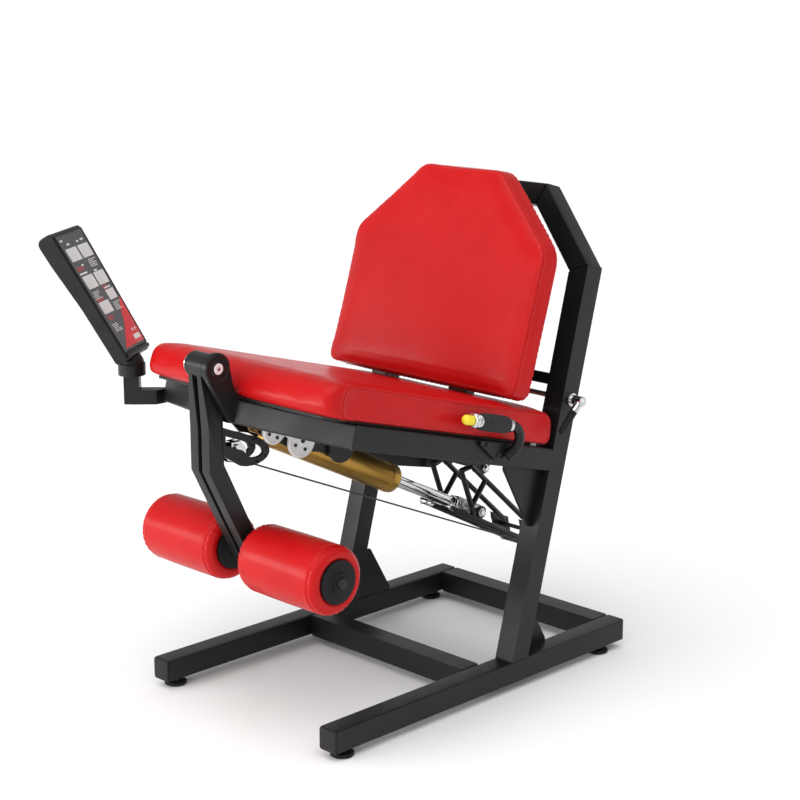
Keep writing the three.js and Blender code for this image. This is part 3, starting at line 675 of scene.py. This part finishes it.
def add_seat():
    half, ease = SEAT.half - 2, 9
    stations = []
    flat = [i * 12.0 for i in range(-23, 24)]
    edge = [half - ease * (1 - sin(a * pi / 12)) for a in range(0, 7)]
    for x in [-e for e in reversed(edge)] + [x for x in flat if abs(x) < edge[0]] + edge:
        t = max(0.0, (abs(x) - (half - ease)) / ease)
        inset = ease * (1 - sqrt(max(0.0, 1 - t * t)))
        nose = 1 - (x / half) ** 2
        loop = rounded_loop(seat_front(x) + inset, seat_rear(x) - inset, SEAT.low + inset * 0.3,
                            SEAT.top + 1.5 * nose - inset, SEAT.radii)
        stations.append([(x, y, z) for y, z in loop])
    mesh = add_cover("seat_cover", loft(stations), LEANING, "frame", "seat_pad",
                     lambda p: p.z < SEAT.low + 6, [Seam(path) for path in seat_sides(SEAT.half)],
                     lambda p: 0.5 if abs(p.x) > 281 else 0.0, 3)
    rows = [path for pair in zip(seat_sides(SEAT.half, 5), seat_sides(SEAT.half - 10, -2))
            for path in pair]
    stitches("seat_stitches", mesh, rows, "frame", LEANING)
    piping("seat_piping", mesh, seat_sides(SEAT.half - 1, 1.5), "frame", LEANING)


# ---- back pad ----
BACK = Sizes(half=297, low=759, shoulder=1090, top=1258, neck=120, y=352, t=55)
BACK_PIVOT = Vector((0, BACK.y + BACK.t, (BACK.low + BACK.top) / 2))
BACK_PLACE = (LEANING @ Matrix.Translation(BACK_PIVOT) @ Matrix.Rotation(-BACK_LEAN, 4, "X")
              @ Matrix.Translation(-BACK_PIVOT))


def back_outline(inset=0.0, steps=8):
    """The back pad's outline in (x, z), counter-clockwise seen from the front."""
    w, low, top = BACK.half - inset, BACK.low + inset, BACK.top - inset
    k = inset * tan(pi / 8)
    corners = [(w, low, 30), (w, BACK.shoulder - k, 34), (BACK.neck - k, top, 26),
               (-BACK.neck + k, top, 26), (-w, BACK.shoulder - k, 34), (-w, low, 30)]
    out = []
    for i, (x, z, r) in enumerate(corners):
        r = max(4, r - inset)
        before = Vector(corners[i - 1][:2]) - Vector((x, z))
        after = Vector(corners[(i + 1) % 6][:2]) - Vector((x, z))
        start = Vector((x, z)) + before.normalized() * r
        end = Vector((x, z)) + after.normalized() * r
        for k in range(steps + 1):
            t = k / steps
            out.append(tuple((1 - t) ** 2 * a + 2 * t * (1 - t) * b + t * t * c
                             for a, b, c in zip(start, (x, z), end)))
    return out


def back_path(y, inset):
    return [(x, y, z) for x, z in back_outline(inset)]


def add_back():
    front, rear = BACK.y + 1, BACK.y + BACK.t - 1
    sections = [back_path(front + share * (rear - front) / 53, 3 + inset)
                for share, inset in ((0, 11), (0.3, 6.5), (1.4, 3.4), (3.6, 1.2), (8, 0.4),
                                     (27, -1.0), (46, 0.4), (50, 1.5), (53, 6))]
    edges = [back_path(front + 1, 4.5), back_path(rear - 3, 4.5)]
    mesh = add_cover("back_cover", loft(sections), BACK_PLACE, "back", "back_pad",
                     lambda p: p.y > rear - 5, [Seam(path) for path in edges],
                     lambda p: 1.6 if p.y > front + 4 else 0.0, 7)
    rows = [back_path(front - 2, 10.5), back_path(front + 9, 2), back_path(rear - 9, 2)]
    stitches("back_stitches", mesh, rows, "back", BACK_PLACE)
    piping("back_piping", mesh, edges, "back", BACK_PLACE)


# ---- rollers ----
ROLLER = Sizes(y=26, z=358, r=75, length=240, inner=40, axle=12, disc=47)


def roller_profile():
    """(distance along, radius) of one foam roller, with dished ends."""
    r, length, dish = ROLLER.r - 2.5, ROLLER.length, ROLLER.disc
    half = [(9, ROLLER.axle + 0.5), (9, dish - 3), (5, dish), (1.5, dish + 3), (0.6, dish + 7)]
    for k in range(1, 9):
        turn = pi / 2 * k / 8
        half.append((0.6 + 23 * (1 - cos(turn)), r - 21 + 21 * sin(turn)))
    middle = [(length * t, r + 1.2 * sin(pi * t)) for t in (0.2, 0.3, 0.4, 0.5)]
    whole = half + middle
    mirror = [(length - s, rr) for s, rr in reversed(whole[:-1])]
    return whole + mirror + [half[0]]


def cap_profile(sunk, hub):
    """A roller's end cap; hub is the (distance along, radius) of its hub's two corners."""
    bore, d = ROLLER.axle + 0.6, ROLLER.disc
    return [(-sunk, bore), (-sunk, d - 2), (0.5, d - 1), (1.6, d - 3), (1.6, 24), *hub,
            (hub[1][0], bore), (-sunk, bore)]


def add_rollers():
    y, z = ROLLER.y, ROLLER.z
    for name, side in SIDES:
        start, end = side * ROLLER.inner, side * (ROLLER.inner + ROLLER.length)
        body, r = f"roller_{name}", ROLLER.r - 4
        seams = [Seam([(start + side * s, y + r * cos(t * pi / 60),
                        z + r * sin(t * pi / 60)) for t in range(120)])
                 for s in (17, ROLLER.length - 17)]
        ends = (start + side * 15, end - side * 15)

        def held(p):
            return hypot(p.y - y, p.z - z) < ROLLER.disc + 4

        def gather(p):
            return 1.7 if (p.x - ends[0]) * side < 0 or (p.x - ends[1]) * side > 0 else 0.0

        add_cover(f"roller_cover_{name}", lathe_x(roller_profile(), start, y, z, side, 96), MACHINE,
                  body, f"roller_pad_{name}", held, seams, gather, 11, voxel=0.0045, smoothing=5,
                  puff=(3.0, 0.003, 8), depth=1.6, width=2.4, ridge=0.8)
        outer = lathe_x(cap_profile(6, [(3.4, 21), (8.6, 20)]), end, y, z, side, 64)
        piece(f"roller_cap_{name}", [outer], RUBBER, body, replaces=[f"roller_disc_{name}"])
        inner = lathe_x(cap_profile(5, [(4, 20), (6, 20)]), start, y, z, -side, 64)
        piece(f"roller_inner_cap_{name}", [inner], RUBBER, body)
    reach = ROLLER.inner + ROLLER.length + 14
    piece("roller_axle_rod", [bar((-reach, y, z), (reach, y, z), ROLLER.axle, 40, 2)], LEVER_PAINT,
          "lever", replaces=["roller_axle"])


# ---- everything else that only changes its finish ----
# (nodes, material, eased edge in mm)
FINISHES = (
    (("base_side_tube_left", "base_side_tube_right", "base_rear_tube", "base_cross_tube",
      "back_hoop_left", "back_hoop_right", "back_hoop_top", "post_left", "post_right",
      "seat_rail_left", "seat_rail_right", "front_rail_left", "front_rail_right",
      "front_rail_center", "rear_crossmember"), PAINT, 0),
    (("knee_pivot_plate", "cylinder_bracket_left", "cylinder_bracket_right",
      "truss_beam_left", "truss_beam_right", "back_column", "back_cross_bar",
      "console_bracket", "handle_left", "handle_right"), PAINT, 0.8),
    (("lever_bar_left", "lever_bar_right"), LEVER_PAINT, 0.8),
    (("cable_shackle",), CHROME, 0.4),
    (("resistance_cable",), ROPE, 0.4),
    (("back_slide",), STEEL, 0.4),
    (("seat_board", "back_board"), BOARD, 0.4),
    (("console_housing",), HOUSING, 1.2),
    (("console_face",), MEMBRANE, 0),
)


def dress_nodes():
    for nodes, material, ease in FINISHES:
        for node in nodes:
            dressed(node, material, ease)


# ---- welds, caps and feet ----
def weld(corners, r=2.3, pitch=3.4):
    """A closed bead of small scales along a loop of corners."""
    path, loop = [], [Vector(c) for c in corners]
    for a, b in zip(loop, loop[1:] + loop[:1]):
        steps = max(2, int((b - a).length / pitch * 3))
        path += [a + (b - a) * k / steps for k in range(steps)]
    count = len(path)
    return tube(path, lambda share: r * (0.82 + 0.18 * cos(share * count * 2.1)), 8, True)


def add_welds():
    inner, y0 = HALF - TUBE, 501.1
    y1 = y0 + TUBE
    rail, top = 620.6 + 3, 620.6 + TUBE - 3
    low, high = (TUBE / cos(LEAN) + y * tan(LEAN) + 0.6 for y in (y0, y1))
    outer = 1082.3  # where the hoop starts to bend, outside and inside
    bend = 1082.5 - TUBE * (hypot(168, 161.1) - 168) / 161.1 - 0.2
    shapes, flat = [], []
    for side in (1, -1):
        a, b = side * (inner + 3), side * (HALF - 3)
        shapes.append(weld([(a, y0, low), (b, y0, low), (b, y1, high), (a, y1, high)]))
        shapes.append(weld([(a, y0, rail), (b, y0, rail), (b, y0, top), (a, y0, top)]))
        shapes.append(weld([(side * HALF, y0 + 3, outer), (side * HALF, y1 - 3, outer),
                            (side * inner, y1 - 3, bend), (side * inner, y0 + 3, bend)], 1.5))
        x = side * (inner + 0.2)
        for y in (427, 929 - TUBE):
            near, far, up = y + 3, y + TUBE - 3, TUBE - 3
            flat.append(weld([(x, near, 4), (x, far, 4), (x, far, up), (x, near, up)], 1.8))
    piece("frame_welds", shapes, PAINT, "frame", LEANING, angle=60)
    piece("base_welds", flat, PAINT, angle=60)


FOOT = [(0, 0), (0, 20), (0.8, 23.4), (2.2, 25), (6.2, 25), (8.2, 24), (9.4, 20), (10.6, 12.2),
        (10.6, 0)]


def add_feet_and_caps():
    caps, middle = [], TUBE / 2
    for name, side in SIDES:
        x = side * (HALF - middle)
        sizes = [(y, middle - 1.2 - shrink)
                 for y, shrink in ((0.4, 0), (-1.6, 0), (-2.8, 0.8), (-3.2, 2.4))]
        caps.append(loft([[(x + cx, y, middle + cz)
                           for cx, cz in rounded_loop(-half, half, -half, half, (5,) * 4, 5)]
                          for y, half in sizes]))
        for end, y in (("front", 38), ("rear", 862)):
            pad = lathe(FOOT, (x, y, -18), (x, y, 0), 56)
            piece(f"foot_pad_{end}_{name}", [pad], RUBBER, replaces=[f"foot_{end}_{name}"])
            stem = [hexagon((x, y, -8), (x, y, -2.6), 11.5), bar((x, y, -8), (x, y, -0.2), 5, 24)]
            piece(f"foot_stem_{end}_{name}", stem, STEEL, angle=30)
    piece("tube_end_caps", caps, HOUSING, angle=40)


# ---- knee pivot ----
KNEE = (-81, 775)  # (y, z)


def add_knee():
    y, z = KNEE

    def turned(name, x, profile, material, body="frame", more=(), **said):
        piece(name, [*more, lathe_x(profile, x, y, z, 1, 72)], material, body, **said)

    turned("lever_hub_shell", -28, [
        (0, 11.9), (0, 24.6), (0.8, 26.2), (2.4, 27), (7, 27), (7.5, 26.4), (8.5, 26.4), (9, 27),
        (52.4, 27), (52.9, 26.4), (53.9, 26.4), (54.4, 27), (59, 27), (60.6, 26.2), (61.4, 24.6),
        (61.4, 11.9), (0, 11.9)], LEVER_PAINT, "lever", replaces=["lever_hub"])
    turned("knee_axle_rod", -37, [(0, 0), (0, 19), (1, 20.6), (3.6, 20.6), (4.6, 19), (4.6, 0)],
           CHROME, more=[bar((-33, y, z), (48, y, z), 11.3, 56, 1)], replaces=["knee_axle"])
    turned("knee_plate_boss", 46, [
        (-1, 12.2), (-1, 31), (1.4, 31), (2.6, 29.6), (2.6, 27.6), (1.6, 26.6), (1.4, 17),
        (2.6, 15.6), (3.4, 14.6), (3.4, 12.2), (-1, 12.2)], PAINT)
    # the cap's pink tint is a painted reflection of the red pad
    turned("knee_bearing_cap", 47.2, [(0, 0), (0, 11.4), (2.6, 11.4), (3.6, 10.4), (4.0, 8.6),
                                      (3.4, 6.2), (3.2, 0)], CAP_PAINTED_PINK_REFLECTION)
    turned("knee_cap_centre", 50.4, [(0, 0), (0, 4.6), (0.3, 4.4), (0.6, 3.4), (0.5, 0)], STEEL)


# ---- pneumatic cylinder ----
ANCHOR = Vector((0, 60, 624))
ROD_PIN = Vector((0, 700, 310))


def along_cylinder(s):
    return ANCHOR + (ROD_PIN - ANCHOR).normalized() * s


def fluted(profile, a, b, flutes, depth, first, last):
    """A turned part whose rings from first to last are fluted."""
    count = flutes * 4
    points, faces = lathe(profile, a, b, count)
    a, axis = Vector(a), (Vector(b) - Vector(a)).normalized()
    out = []
    for p in points:
        s = (p - a).dot(axis)
        radial = p - a - axis * s
        if first <= s <= last and radial.length > 1:
            side = axis.orthogonal().normalized()
            turn = atan2(radial.dot(axis.cross(side)), radial.dot(side))
            p = p - radial.normalized() * depth * (0.5 + 0.5 * cos(turn * flutes))
        out.append(p)
    return out, faces


def add_cylinder():
    a, b, total = ANCHOR, ROD_PIN, (ROD_PIN - ANCHOR).length
    barrel = lathe([
        (30, 0), (30, 26), (31, 29), (34, 32.4), (38, 33.6), (58, 33.6), (58.6, 32.6), (60.6, 32.6),
        (61.2, 33.4), (404, 33.4), (404.6, 32.6), (406.6, 32.6), (407.2, 33.8), (428, 33.8),
        (433, 32.6), (436, 30), (437.6, 26.5), (437.6, 19), (435.6, 17.6), (435.6, 15), (420, 15),
        (420, 0)], a, b, 96)
    eye = lathe_x([(0, 8.4), (0, 13.4), (1.4, 15), (30.6, 15), (32, 13.4), (32, 8.4), (0, 8.4)],
                  a.x - 16, a.y, a.z)
    neck = lathe([(12, 0), (12, 11), (26, 11.8), (32, 14), (32, 0)], a, b, 40)
    piece("cylinder_body", [barrel, eye, neck], GOLD, "barrel", replaces=["cylinder_barrel"])
    start = 238  # 200 mm inside the barrel
    shaft = lathe([(start, 0), (start, 13), (start + 1, 14), (total - 66, 14), (total - 64, 12.6),
                   (total - 50, 12.6), (total - 50, 0)], a, b, 64)
    piece("cylinder_rod_shaft", [shaft], CHROME, "rod", replaces=["cylinder_rod"])
    nut = hexagon(along_cylinder(total - 62), along_cylinder(total - 48), 17.8, 0.2)
    washer = ring(along_cylinder(total - 48), along_cylinder(total - 44.5), 18.4, 12)
    piece("rod_lock_nut", [nut, washer], CHROME, "rod", angle=30)
    clevis = fluted([(total + s, r) for s, r in (
        (-44, 0), (-44, 17), (-40, 19.4), (-33, 19.8), (-32, 19.6), (-20, 19.6), (-8, 19.6),
        (4, 19.6), (16, 19.6), (28, 19.6), (40, 19.6), (41, 19.4), (44, 18), (46.6, 14),
        (46.6, 0))], a, b, 26, 1.3, total - 32.5, total + 40.5)
    piece("rod_clevis", [clevis], STEEL, "rod", angle=30)


# ---- truss arm ----
TRUSS_X = 46


def weld_ball(x, y, z, r):
    """The swelling where round bars meet, about an axis along X."""
    return lathe_x([(-0.75 * r, 0), (-r * 0.72, r * 0.55), (0, r * 1.08), (r * 0.72, r * 0.55),
                    (0.75 * r, 0)], x, y, z, 1, 20)


def bolt(x, y, z, side, head, length, washer, thick, under=0.0, twist=0.3):
    """A hexagon head on a washer, on a face at x that looks to the side."""
    return [hexagon((x, y, z), (x + side * length, y, z), head, twist),
            ring((x - side * under, y, z), (x + side * thick, y, z), washer, 1)]


def add_truss():
    f, g, u, n = (632, 424), (668, 428), (715, 385), (668, 331)
    low, foot, upper, tip = (604, 338), (674, 304), (886, 233), (896, 186)
    pivot, pin, joint, cable = (686, 424), (700, 310), (870, 228), (889, 188)
    plate = ((838, 262), (850, 216), (896, 176), (908, 190), (896, 238))
    shapes, bolts = [], []
    for side in (-1, 1):
        x = side * TRUSS_X
        for p, q, r in ((f, g, 6.3), (g, u, 6.3), (u, upper, 6.3), (f, n, 6.3), (n, u, 6.3),
                        (n, foot, 6.3), (low, tip, 7)):
            shapes.append(bar((x, *p), (x, *q), r, 24, 1.2))
        shapes += [weld_ball(x, *p, r)
                   for p, r in ((f, 6.6), (g, 6.6), (u, 6.8), (n, 6.8), (foot, 7.4))]
        shapes.append(loft([[(x + dx, *at) for at in plate] for dx in (-3.5, 3.5)]))
        shapes += [ring((x - 4, *at), (x + 4, *at), r, 6.7, 1.2, 40)
                   for at, r in ((pivot, 16), (pin, 15))]
        shapes.append(bar((side * 20.8, *pin), (x, *pin), 7, 28))
        for at in (pin, cable, joint, (852, 248)):
            bolts += bolt(x + side * 3.5, *at, side, 8.2, 5.5, 10, 1.4)
    shapes.append(bar((-TRUSS_X, *cable), (TRUSS_X, *cable), 8, 32))
    shapes.append(bar((-TRUSS_X, *joint), (TRUSS_X, *joint), 5, 24))
    piece("truss_frame", shapes, PAINT, "truss", replaces=["truss_arm"], angle=40)
    y, z = 606, low[1]
    for x0, x1 in ((-57, -34), (-30, -19)):
        bolts.append(bar((x0, y, z), (x1, y, z), 7.2, 32, 1.4))
        bolts.append(ring((x0 + 4, y, z), (x0 + 7, y, z), 9, 4))
    piece("truss_bolts", bolts, CHROME, "truss", angle=30)


MOUNT_X = 44.4  # the outer face of the left bracket


def add_mount_details():
    ay, az = lean_point(*ANCHOR.yz)
    py, pz = lean_point(686, 424)
    dark, bright = [], []
    for cy, cz, r, node in ((ay + 2, az, 30, "anchor_disc"), (ay + 84, az - 15, 37, "guide_disc")):
        disc = lathe_x([(0, 0), (0, r - 3), (1.2, r - 0.6), (3.4, r), (7, r), (8.6, r - 0.8),
                        (9.4, r - 2.6), (8.4, r - 5.4), (8.2, 9), (9.2, 8), (9.6, 0)],
                       MOUNT_X, cy, cz, 1, 80)
        piece(f"{node}_body", [disc], NYLON, "frame", LEANING, [node])
        for turn in (0.5, 2.1, 3.7, 5.3):
            y, z = cy + 0.56 * r * cos(turn), cz + 0.56 * r * sin(turn)
            dark.append(hexagon((52.6, y, z), (55.4, y, z), 4, turn))
        dark.append(hexagon((53.6, cy, cz), (57, cy, cz), 5.2, 0.4))
    dark.append(lathe_x([(0, 0), (0, 35), (2, 37), (9, 37), (11, 34), (11, 0)],
                        MOUNT_X, ay + 203, az - 17, 1, 80))
    dark.append(slab((37, 44.6), (ay + 90, ay + 215), (az - 36, az - 10)))
    piece("mount_bolts", dark, LEVER_PAINT, "frame", LEANING, angle=30)
    for y, z in ((ay - 34, az + 4), (ay + 42, az - 6)):
        bright += [hexagon((43, y, z), (53, y, z), 6.4, 0.3), bar((53, y, z), (61, y, z), 4.4, 28),
                   ring((55, y, z), (58, y, z), 5.6, 3, 0.6, 36)]
    piece("air_fittings", bright, NYLON, "frame", LEANING, angle=30)
    pins = [bar((71, py, pz), (74.5, py, pz), 9.4, 40, 1.2),
            hexagon((74.4, py, pz), (80, py, pz), 8.4, 0.2),
            bar((-74.5, py, pz), (-71, py, pz), 9.4, 40, 1.2)]
    piece("truss_pivot_bolts", pins, CHROME, "frame", LEANING, angle=30)


# ---- hand grips ----
GRIP = Sizes(x=331, y=-10.5, z=712.7)


def add_grips():
    start, z = GRIP.y, GRIP.z
    sleeve = [(215, 11.9), (215, 15.4), (216.2, 17), (219, 18)]
    for k in range(12):
        s = 223 + k * 6
        swell = 18.3 + 0.9 * sin(pi * (s - 213) / 88)
        sleeve += [(s, swell), (s + 4.4, swell), (s + 4.9, swell - 0.4), (s + 5.5, swell - 0.4)]
    sleeve += [(297, 18.3), (300.6, 17.4), (302.6, 15.6), (303, 11.9), (215, 11.9)]
    collar = [(198, 11.3), (198, 14.4), (199, 15.2), (202, 15.2), (203, 13.2), (208, 12.6),
              (208.8, 14.4), (213.6, 14.4), (214.4, 12.6), (214.4, 11.3), (198, 11.3)]
    lip = [(188.8, 11.3), (188.8, 13.4), (189.6, 14.2), (189.6, 11.3), (188.8, 11.3)]
    rear = [(303.4, 11.2), (303.4, 13.8), (304.2, 14.6), (312.4, 14.6), (313.2, 13.8),
            (313.2, 11.2), (303.4, 11.2)]
    dome = [(163 + 10.7 * (1 - cos(k * pi / 16)), 10.7 * sin(k * pi / 16))
            for k in range(9)] + [(190, 10.7), (202, 10.5), (202, 0)]
    bolts = []
    for name, side in SIDES:
        x = side * GRIP.x

        def add(what, profiles, material, body="frame", replaces=(), more=(), angle=SMOOTH_BELOW):
            turned = [lathe(q, (x, start, z), (x, start + 1, z), 56) for q in profiles]
            piece(f"{what}_{name}", [*more, *turned], material, body, LEANING, replaces,
                  angle=angle)

        add("grip_sleeve", [sleeve], FOAM, replaces=[f"grip_{name}"], angle=50)
        nut = hexagon((x, start + 198, z), (x, start + 189.4, z), 16.4, 0.35)
        add("button_nut_hex", [collar, lip], CHROME, replaces=[f"button_nut_{name}"], more=[nut],
            angle=30)
        add("grip_end_ring", [rear], CHROME)
        add("thumb_button_dome", [dome], YELLOW, f"button_{name}", [f"thumb_button_{name}"])
        for by, bz in ((270, 664.5), (338, 664.5), (311, 645)):
            bolts += bolt(side * (HALF + 9), by, bz, side, 6, 4, 8, 1, 0.4, 0.5)
    piece("handle_bolts", bolts, LEVER_PAINT, "frame", LEANING, angle=30)


# ---- seat release ----
def add_release():
    y, z = 532, 784.7
    shaft = bar((-(HALF - TUBE - 0.3), y, z), (HALF + 20, y, z), 6, 32)
    piece("release_shaft", [shaft], STEEL, "release", LEANING, ["release_lever"])
    way = Vector((0, 482 - y, 706 - z)).normalized()
    hub = Vector((HALF + 25, y, z))
    boss = [ring((HALF + 1, y, z), (HALF + 4, y, z), 15, 5),
            bar((HALF + 3, y, z), (HALF + 34, y, z), 11.4, 48, 1.8),
            bar(hub + way * 6, hub + way * 31, 9.4, 40, 1.4),
            hexagon((HALF + 34, y, z), (HALF + 36, y, z), 7, 0.2)]
    piece("release_boss", boss, CHROME, "release", LEANING, angle=30)
    start = hub + way * 29
    arm = lathe([(0, 0), (0, 7), (1.4, 8.2), (14, 8.4), (36, 7.6), (50, 7.2), (56, 6.4), (59, 4.8),
                 (60.4, 2.4), (60.6, 0)], start, start + way, 36)
    piece("release_arm", [arm], RUBBER, "release", LEANING)


# ---- display console ----
CONSOLE = Sizes(x=-349, y=2.4, z=724, yaw=122, tilt=31, top=79, foot=68,
                length=313)
PANEL = (MACHINE @ Matrix.Translation((CONSOLE.x, CONSOLE.y, CONSOLE.z))
         @ Matrix.Rotation(radians(CONSOLE.yaw), 4, "Z")
         @ Matrix.Rotation(-radians(CONSOLE.tilt), 4, "X"))
FACE_Y = -22.6


def panel_half(z, inset):
    """Half the tapered panel's width at height z, less an inset."""
    width = CONSOLE.foot + (CONSOLE.top - CONSOLE.foot) * z / CONSOLE.length
    return (CONSOLE.top - inset) * width / CONSOLE.top


def face_point(u, v):
    """(x, z) on the display face; u and v run from 0 to 1, left to right and top down."""
    z = CONSOLE.length - 12 - v * (CONSOLE.length - 31)
    return (2 * u - 1) * panel_half(z, 10), z


def patch(corners, lift):
    """A thin plate on the display face, sunk a little into it."""
    flat = [face_point(u, v) for u, v in corners]
    cx, cz = (sum(p[k] for p in flat) / len(flat) for k in (0, 1))
    top = [(cx + (x - cx) * 0.985, cz + (z - cz) * 0.985) for x, z in flat]
    return loft([[(x, FACE_Y + 0.3, z) for x, z in flat],
                 [(x, FACE_Y - lift * 0.7, z) for x, z in flat],
                 [(x, FACE_Y - lift, z) for x, z in top]])


def mark(u0, v0, u1, v1, lift):
    return patch([(u0, v0), (u1, v0), (u1, v1), (u0, v1)], lift)


def window(u0, u1, v0, v1):
    """A raised window with clipped corners."""
    r = 0.012
    corners = [(u0 + r, v0), (u1 - r, v0), (u1, v0 + r * 0.6), (u1, v1 - r * 0.6), (u1 - r, v1),
               (u0 + r, v1), (u0, v1 - r * 0.6), (u0, v0 + r * 0.6)]
    return patch(corners, 0.5)


def rim(inset, y0, y1, width):
    """A raised frame round the display face."""

    def loop(extra, y):
        z0, z1 = 16 + extra, CONSOLE.length - 9 - extra
        return [(sx * panel_half(z, inset + extra), y, z)
                for sx, z in ((-1, z0), (1, z0), (1, z1), (-1, z1))]

    loops = [loop(0, y0), loop(0.3, y1), loop(width - 0.3, y1), loop(width, y0)]
    points, faces = loft(loops + [loops[0]])
    return points, faces[:-2]


def add_console():
    def add(name, shapes, material, place=PANEL, ease=0.0, angle=30):
        piece("console_" + name, shapes, material, "console", place, ease=ease, angle=angle)

    add("bezel", [rim(5.4, -20.8, -23.9, 2.6)], HOUSING)
    edge = [(-CONSOLE.foot + 8, -22, 9), (0, -23, 8.4), (CONSOLE.foot - 8, -22, 9)]
    add("lip", [tube(smooth_path(edge, 8), 5.2, 20)], HOUSING, angle=60)
    x, y, z = CONSOLE.x, CONSOLE.y, CONSOLE.z
    socket = lathe([(0, 0), (0, 26), (0.8, 27), (4, 27), (10, 25), (17, 21), (22, 17), (22, 0)],
                   (x, y, z - 9.6), (x, y, z), 56)
    add("socket", [socket], HOUSING, MACHINE, angle=SMOOTH_BELOW)
    add("windows", [window(*spans) for spans in (
        (0.07, 0.48, 0.115, 0.225), (0.54, 0.95, 0.115, 0.225), (0.07, 0.48, 0.355, 0.465),
        (0.54, 0.95, 0.355, 0.465), (0.09, 0.50, 0.585, 0.685))], LCD)
    rng = random.Random(5)
    white = [mark(u, v, u + w, v + 0.014, 0.3) for u, v, w in (
        (0.06, 0.035, 0.09), (0.22, 0.075, 0.10), (0.60, 0.075, 0.08), (0.76, 0.07, 0.12),
        (0.06, 0.325, 0.30), (0.62, 0.335, 0.12), (0.30, 0.262, 0.08), (0.62, 0.49, 0.26))]
    red, grey = [], []
    for row in range(5):
        for u0, v0 in ((0.08, 0.492), (0.60, 0.245), (0.60, 0.625), (0.10, 0.775)):
            u = u0 + rng.uniform(0, 0.03)
            w = rng.uniform(0.18, 0.30)
            v = v0 + row * 0.0145
            grey.append(mark(u, v, u + w, v + 0.006, 0.25))
    grey.append(mark(0.60, 0.515, 0.93, 0.60, 0.2))
    for row in range(3):
        for u0, v0, w in ((0.07, 0.275, 0.26), (0.58, 0.475, 0.20), (0.10, 0.555, 0.30),
                          (0.13, 0.705, 0.22)):
            for k in range(4):
                u, v = u0 + k * w / 4, v0 + row * 0.0125
                red.append(mark(u, v, u + w / 6, v + 0.007, 0.3))
    red.append(patch([(1.0, 0.60), (1.0, 0.985), (0.12, 0.985), (0.62, 0.80), (0.80, 0.68)], 0.2))
    white.append(mark(0.66, 0.915, 0.94, 0.955, 0.35))
    white += [mark(u, 0.865, u + 0.05, 0.885, 0.35) for u in (0.74, 0.74 + 0.12)]
    add("white_marks", white, PRINT)
    add("grey_marks", grey, LCD)
    add("red_marks", red, RED_PRINT)
    ribs = [slab((-46, 46), (9, 12.5), (z, z + 3.5)) for z in range(44, 110, 9)]
    add("back_vents", ribs, HOUSING, ease=0.6)
    screws = [hexagon((x, 10, z), (x, 13.5, z), 4.4) for x in (52, -52) for z in (30, 120)]
    add("back_screws", screws, STEEL)


# ---- floor and lights ----
def add_floor():
    """A floor so wide that its far edge lies above the picture."""
    bpy.ops.mesh.primitive_plane_add(size=400, location=(0, 0, 0))
    floor = bpy.context.object
    floor.name = "floor"
    floor.data.materials.append(stone_floor("pale_floor"))


def aimed(lamp, way):
    lamp.rotation_euler = Vector(way).to_track_quat("-Z", "Y").to_euler()


def add_lights():
    """An overhead sun, a wide low key on the front and a world that fades with height."""
    world = bpy.data.worlds.new("studio")
    bpy.context.scene.world = world
    world.use_nodes = True
    nodes, links = world.node_tree.nodes, world.node_tree.links
    background = nodes["Background"]
    background.inputs["Color"].default_value = (1, 1, 1, 1)
    height, fade = nodes.new("ShaderNodeSeparateXYZ"), nodes.new("ShaderNodeMapRange")
    links.new(nodes.new("ShaderNodeTexCoord").outputs["Generated"], height.inputs["Vector"])
    links.new(height.outputs["Z"], fade.inputs["Value"])
    links.new(fade.outputs["Result"], background.inputs["Strength"])
    for key, number in (("From Min", 0.06), ("From Max", 0.3), ("To Min", 1.05), ("To Max", 0.5)):
        fade.inputs[key].default_value = number
    sun = bpy.data.lights.new("overhead", "SUN")
    sun.energy, sun.angle = 1.95, radians(75)
    aimed(linked("overhead", sun), (-0.16, 0.34, -1))
    key = bpy.data.lights.new("key", "AREA")
    key.shape, key.size, key.size_y, key.energy = "RECTANGLE", 4.2, 1.1, 105
    lamp = linked("key", key)
    lamp.location = (-1.7, -4.0, 1.25)
    aimed(lamp, Vector((0.1, 0, 0.5)) - lamp.location)


add_camera()
dress_nodes()
add_welds()
add_feet_and_caps()
add_knee()
add_cylinder()
add_truss()
add_mount_details()
add_grips()
add_release()
add_console()
add_seat()
add_back()
add_rollers()
add_floor()
add_lights()

bpy.context.scene.view_settings.view_transform = "Standard"
bpy.context.view_layer.update()
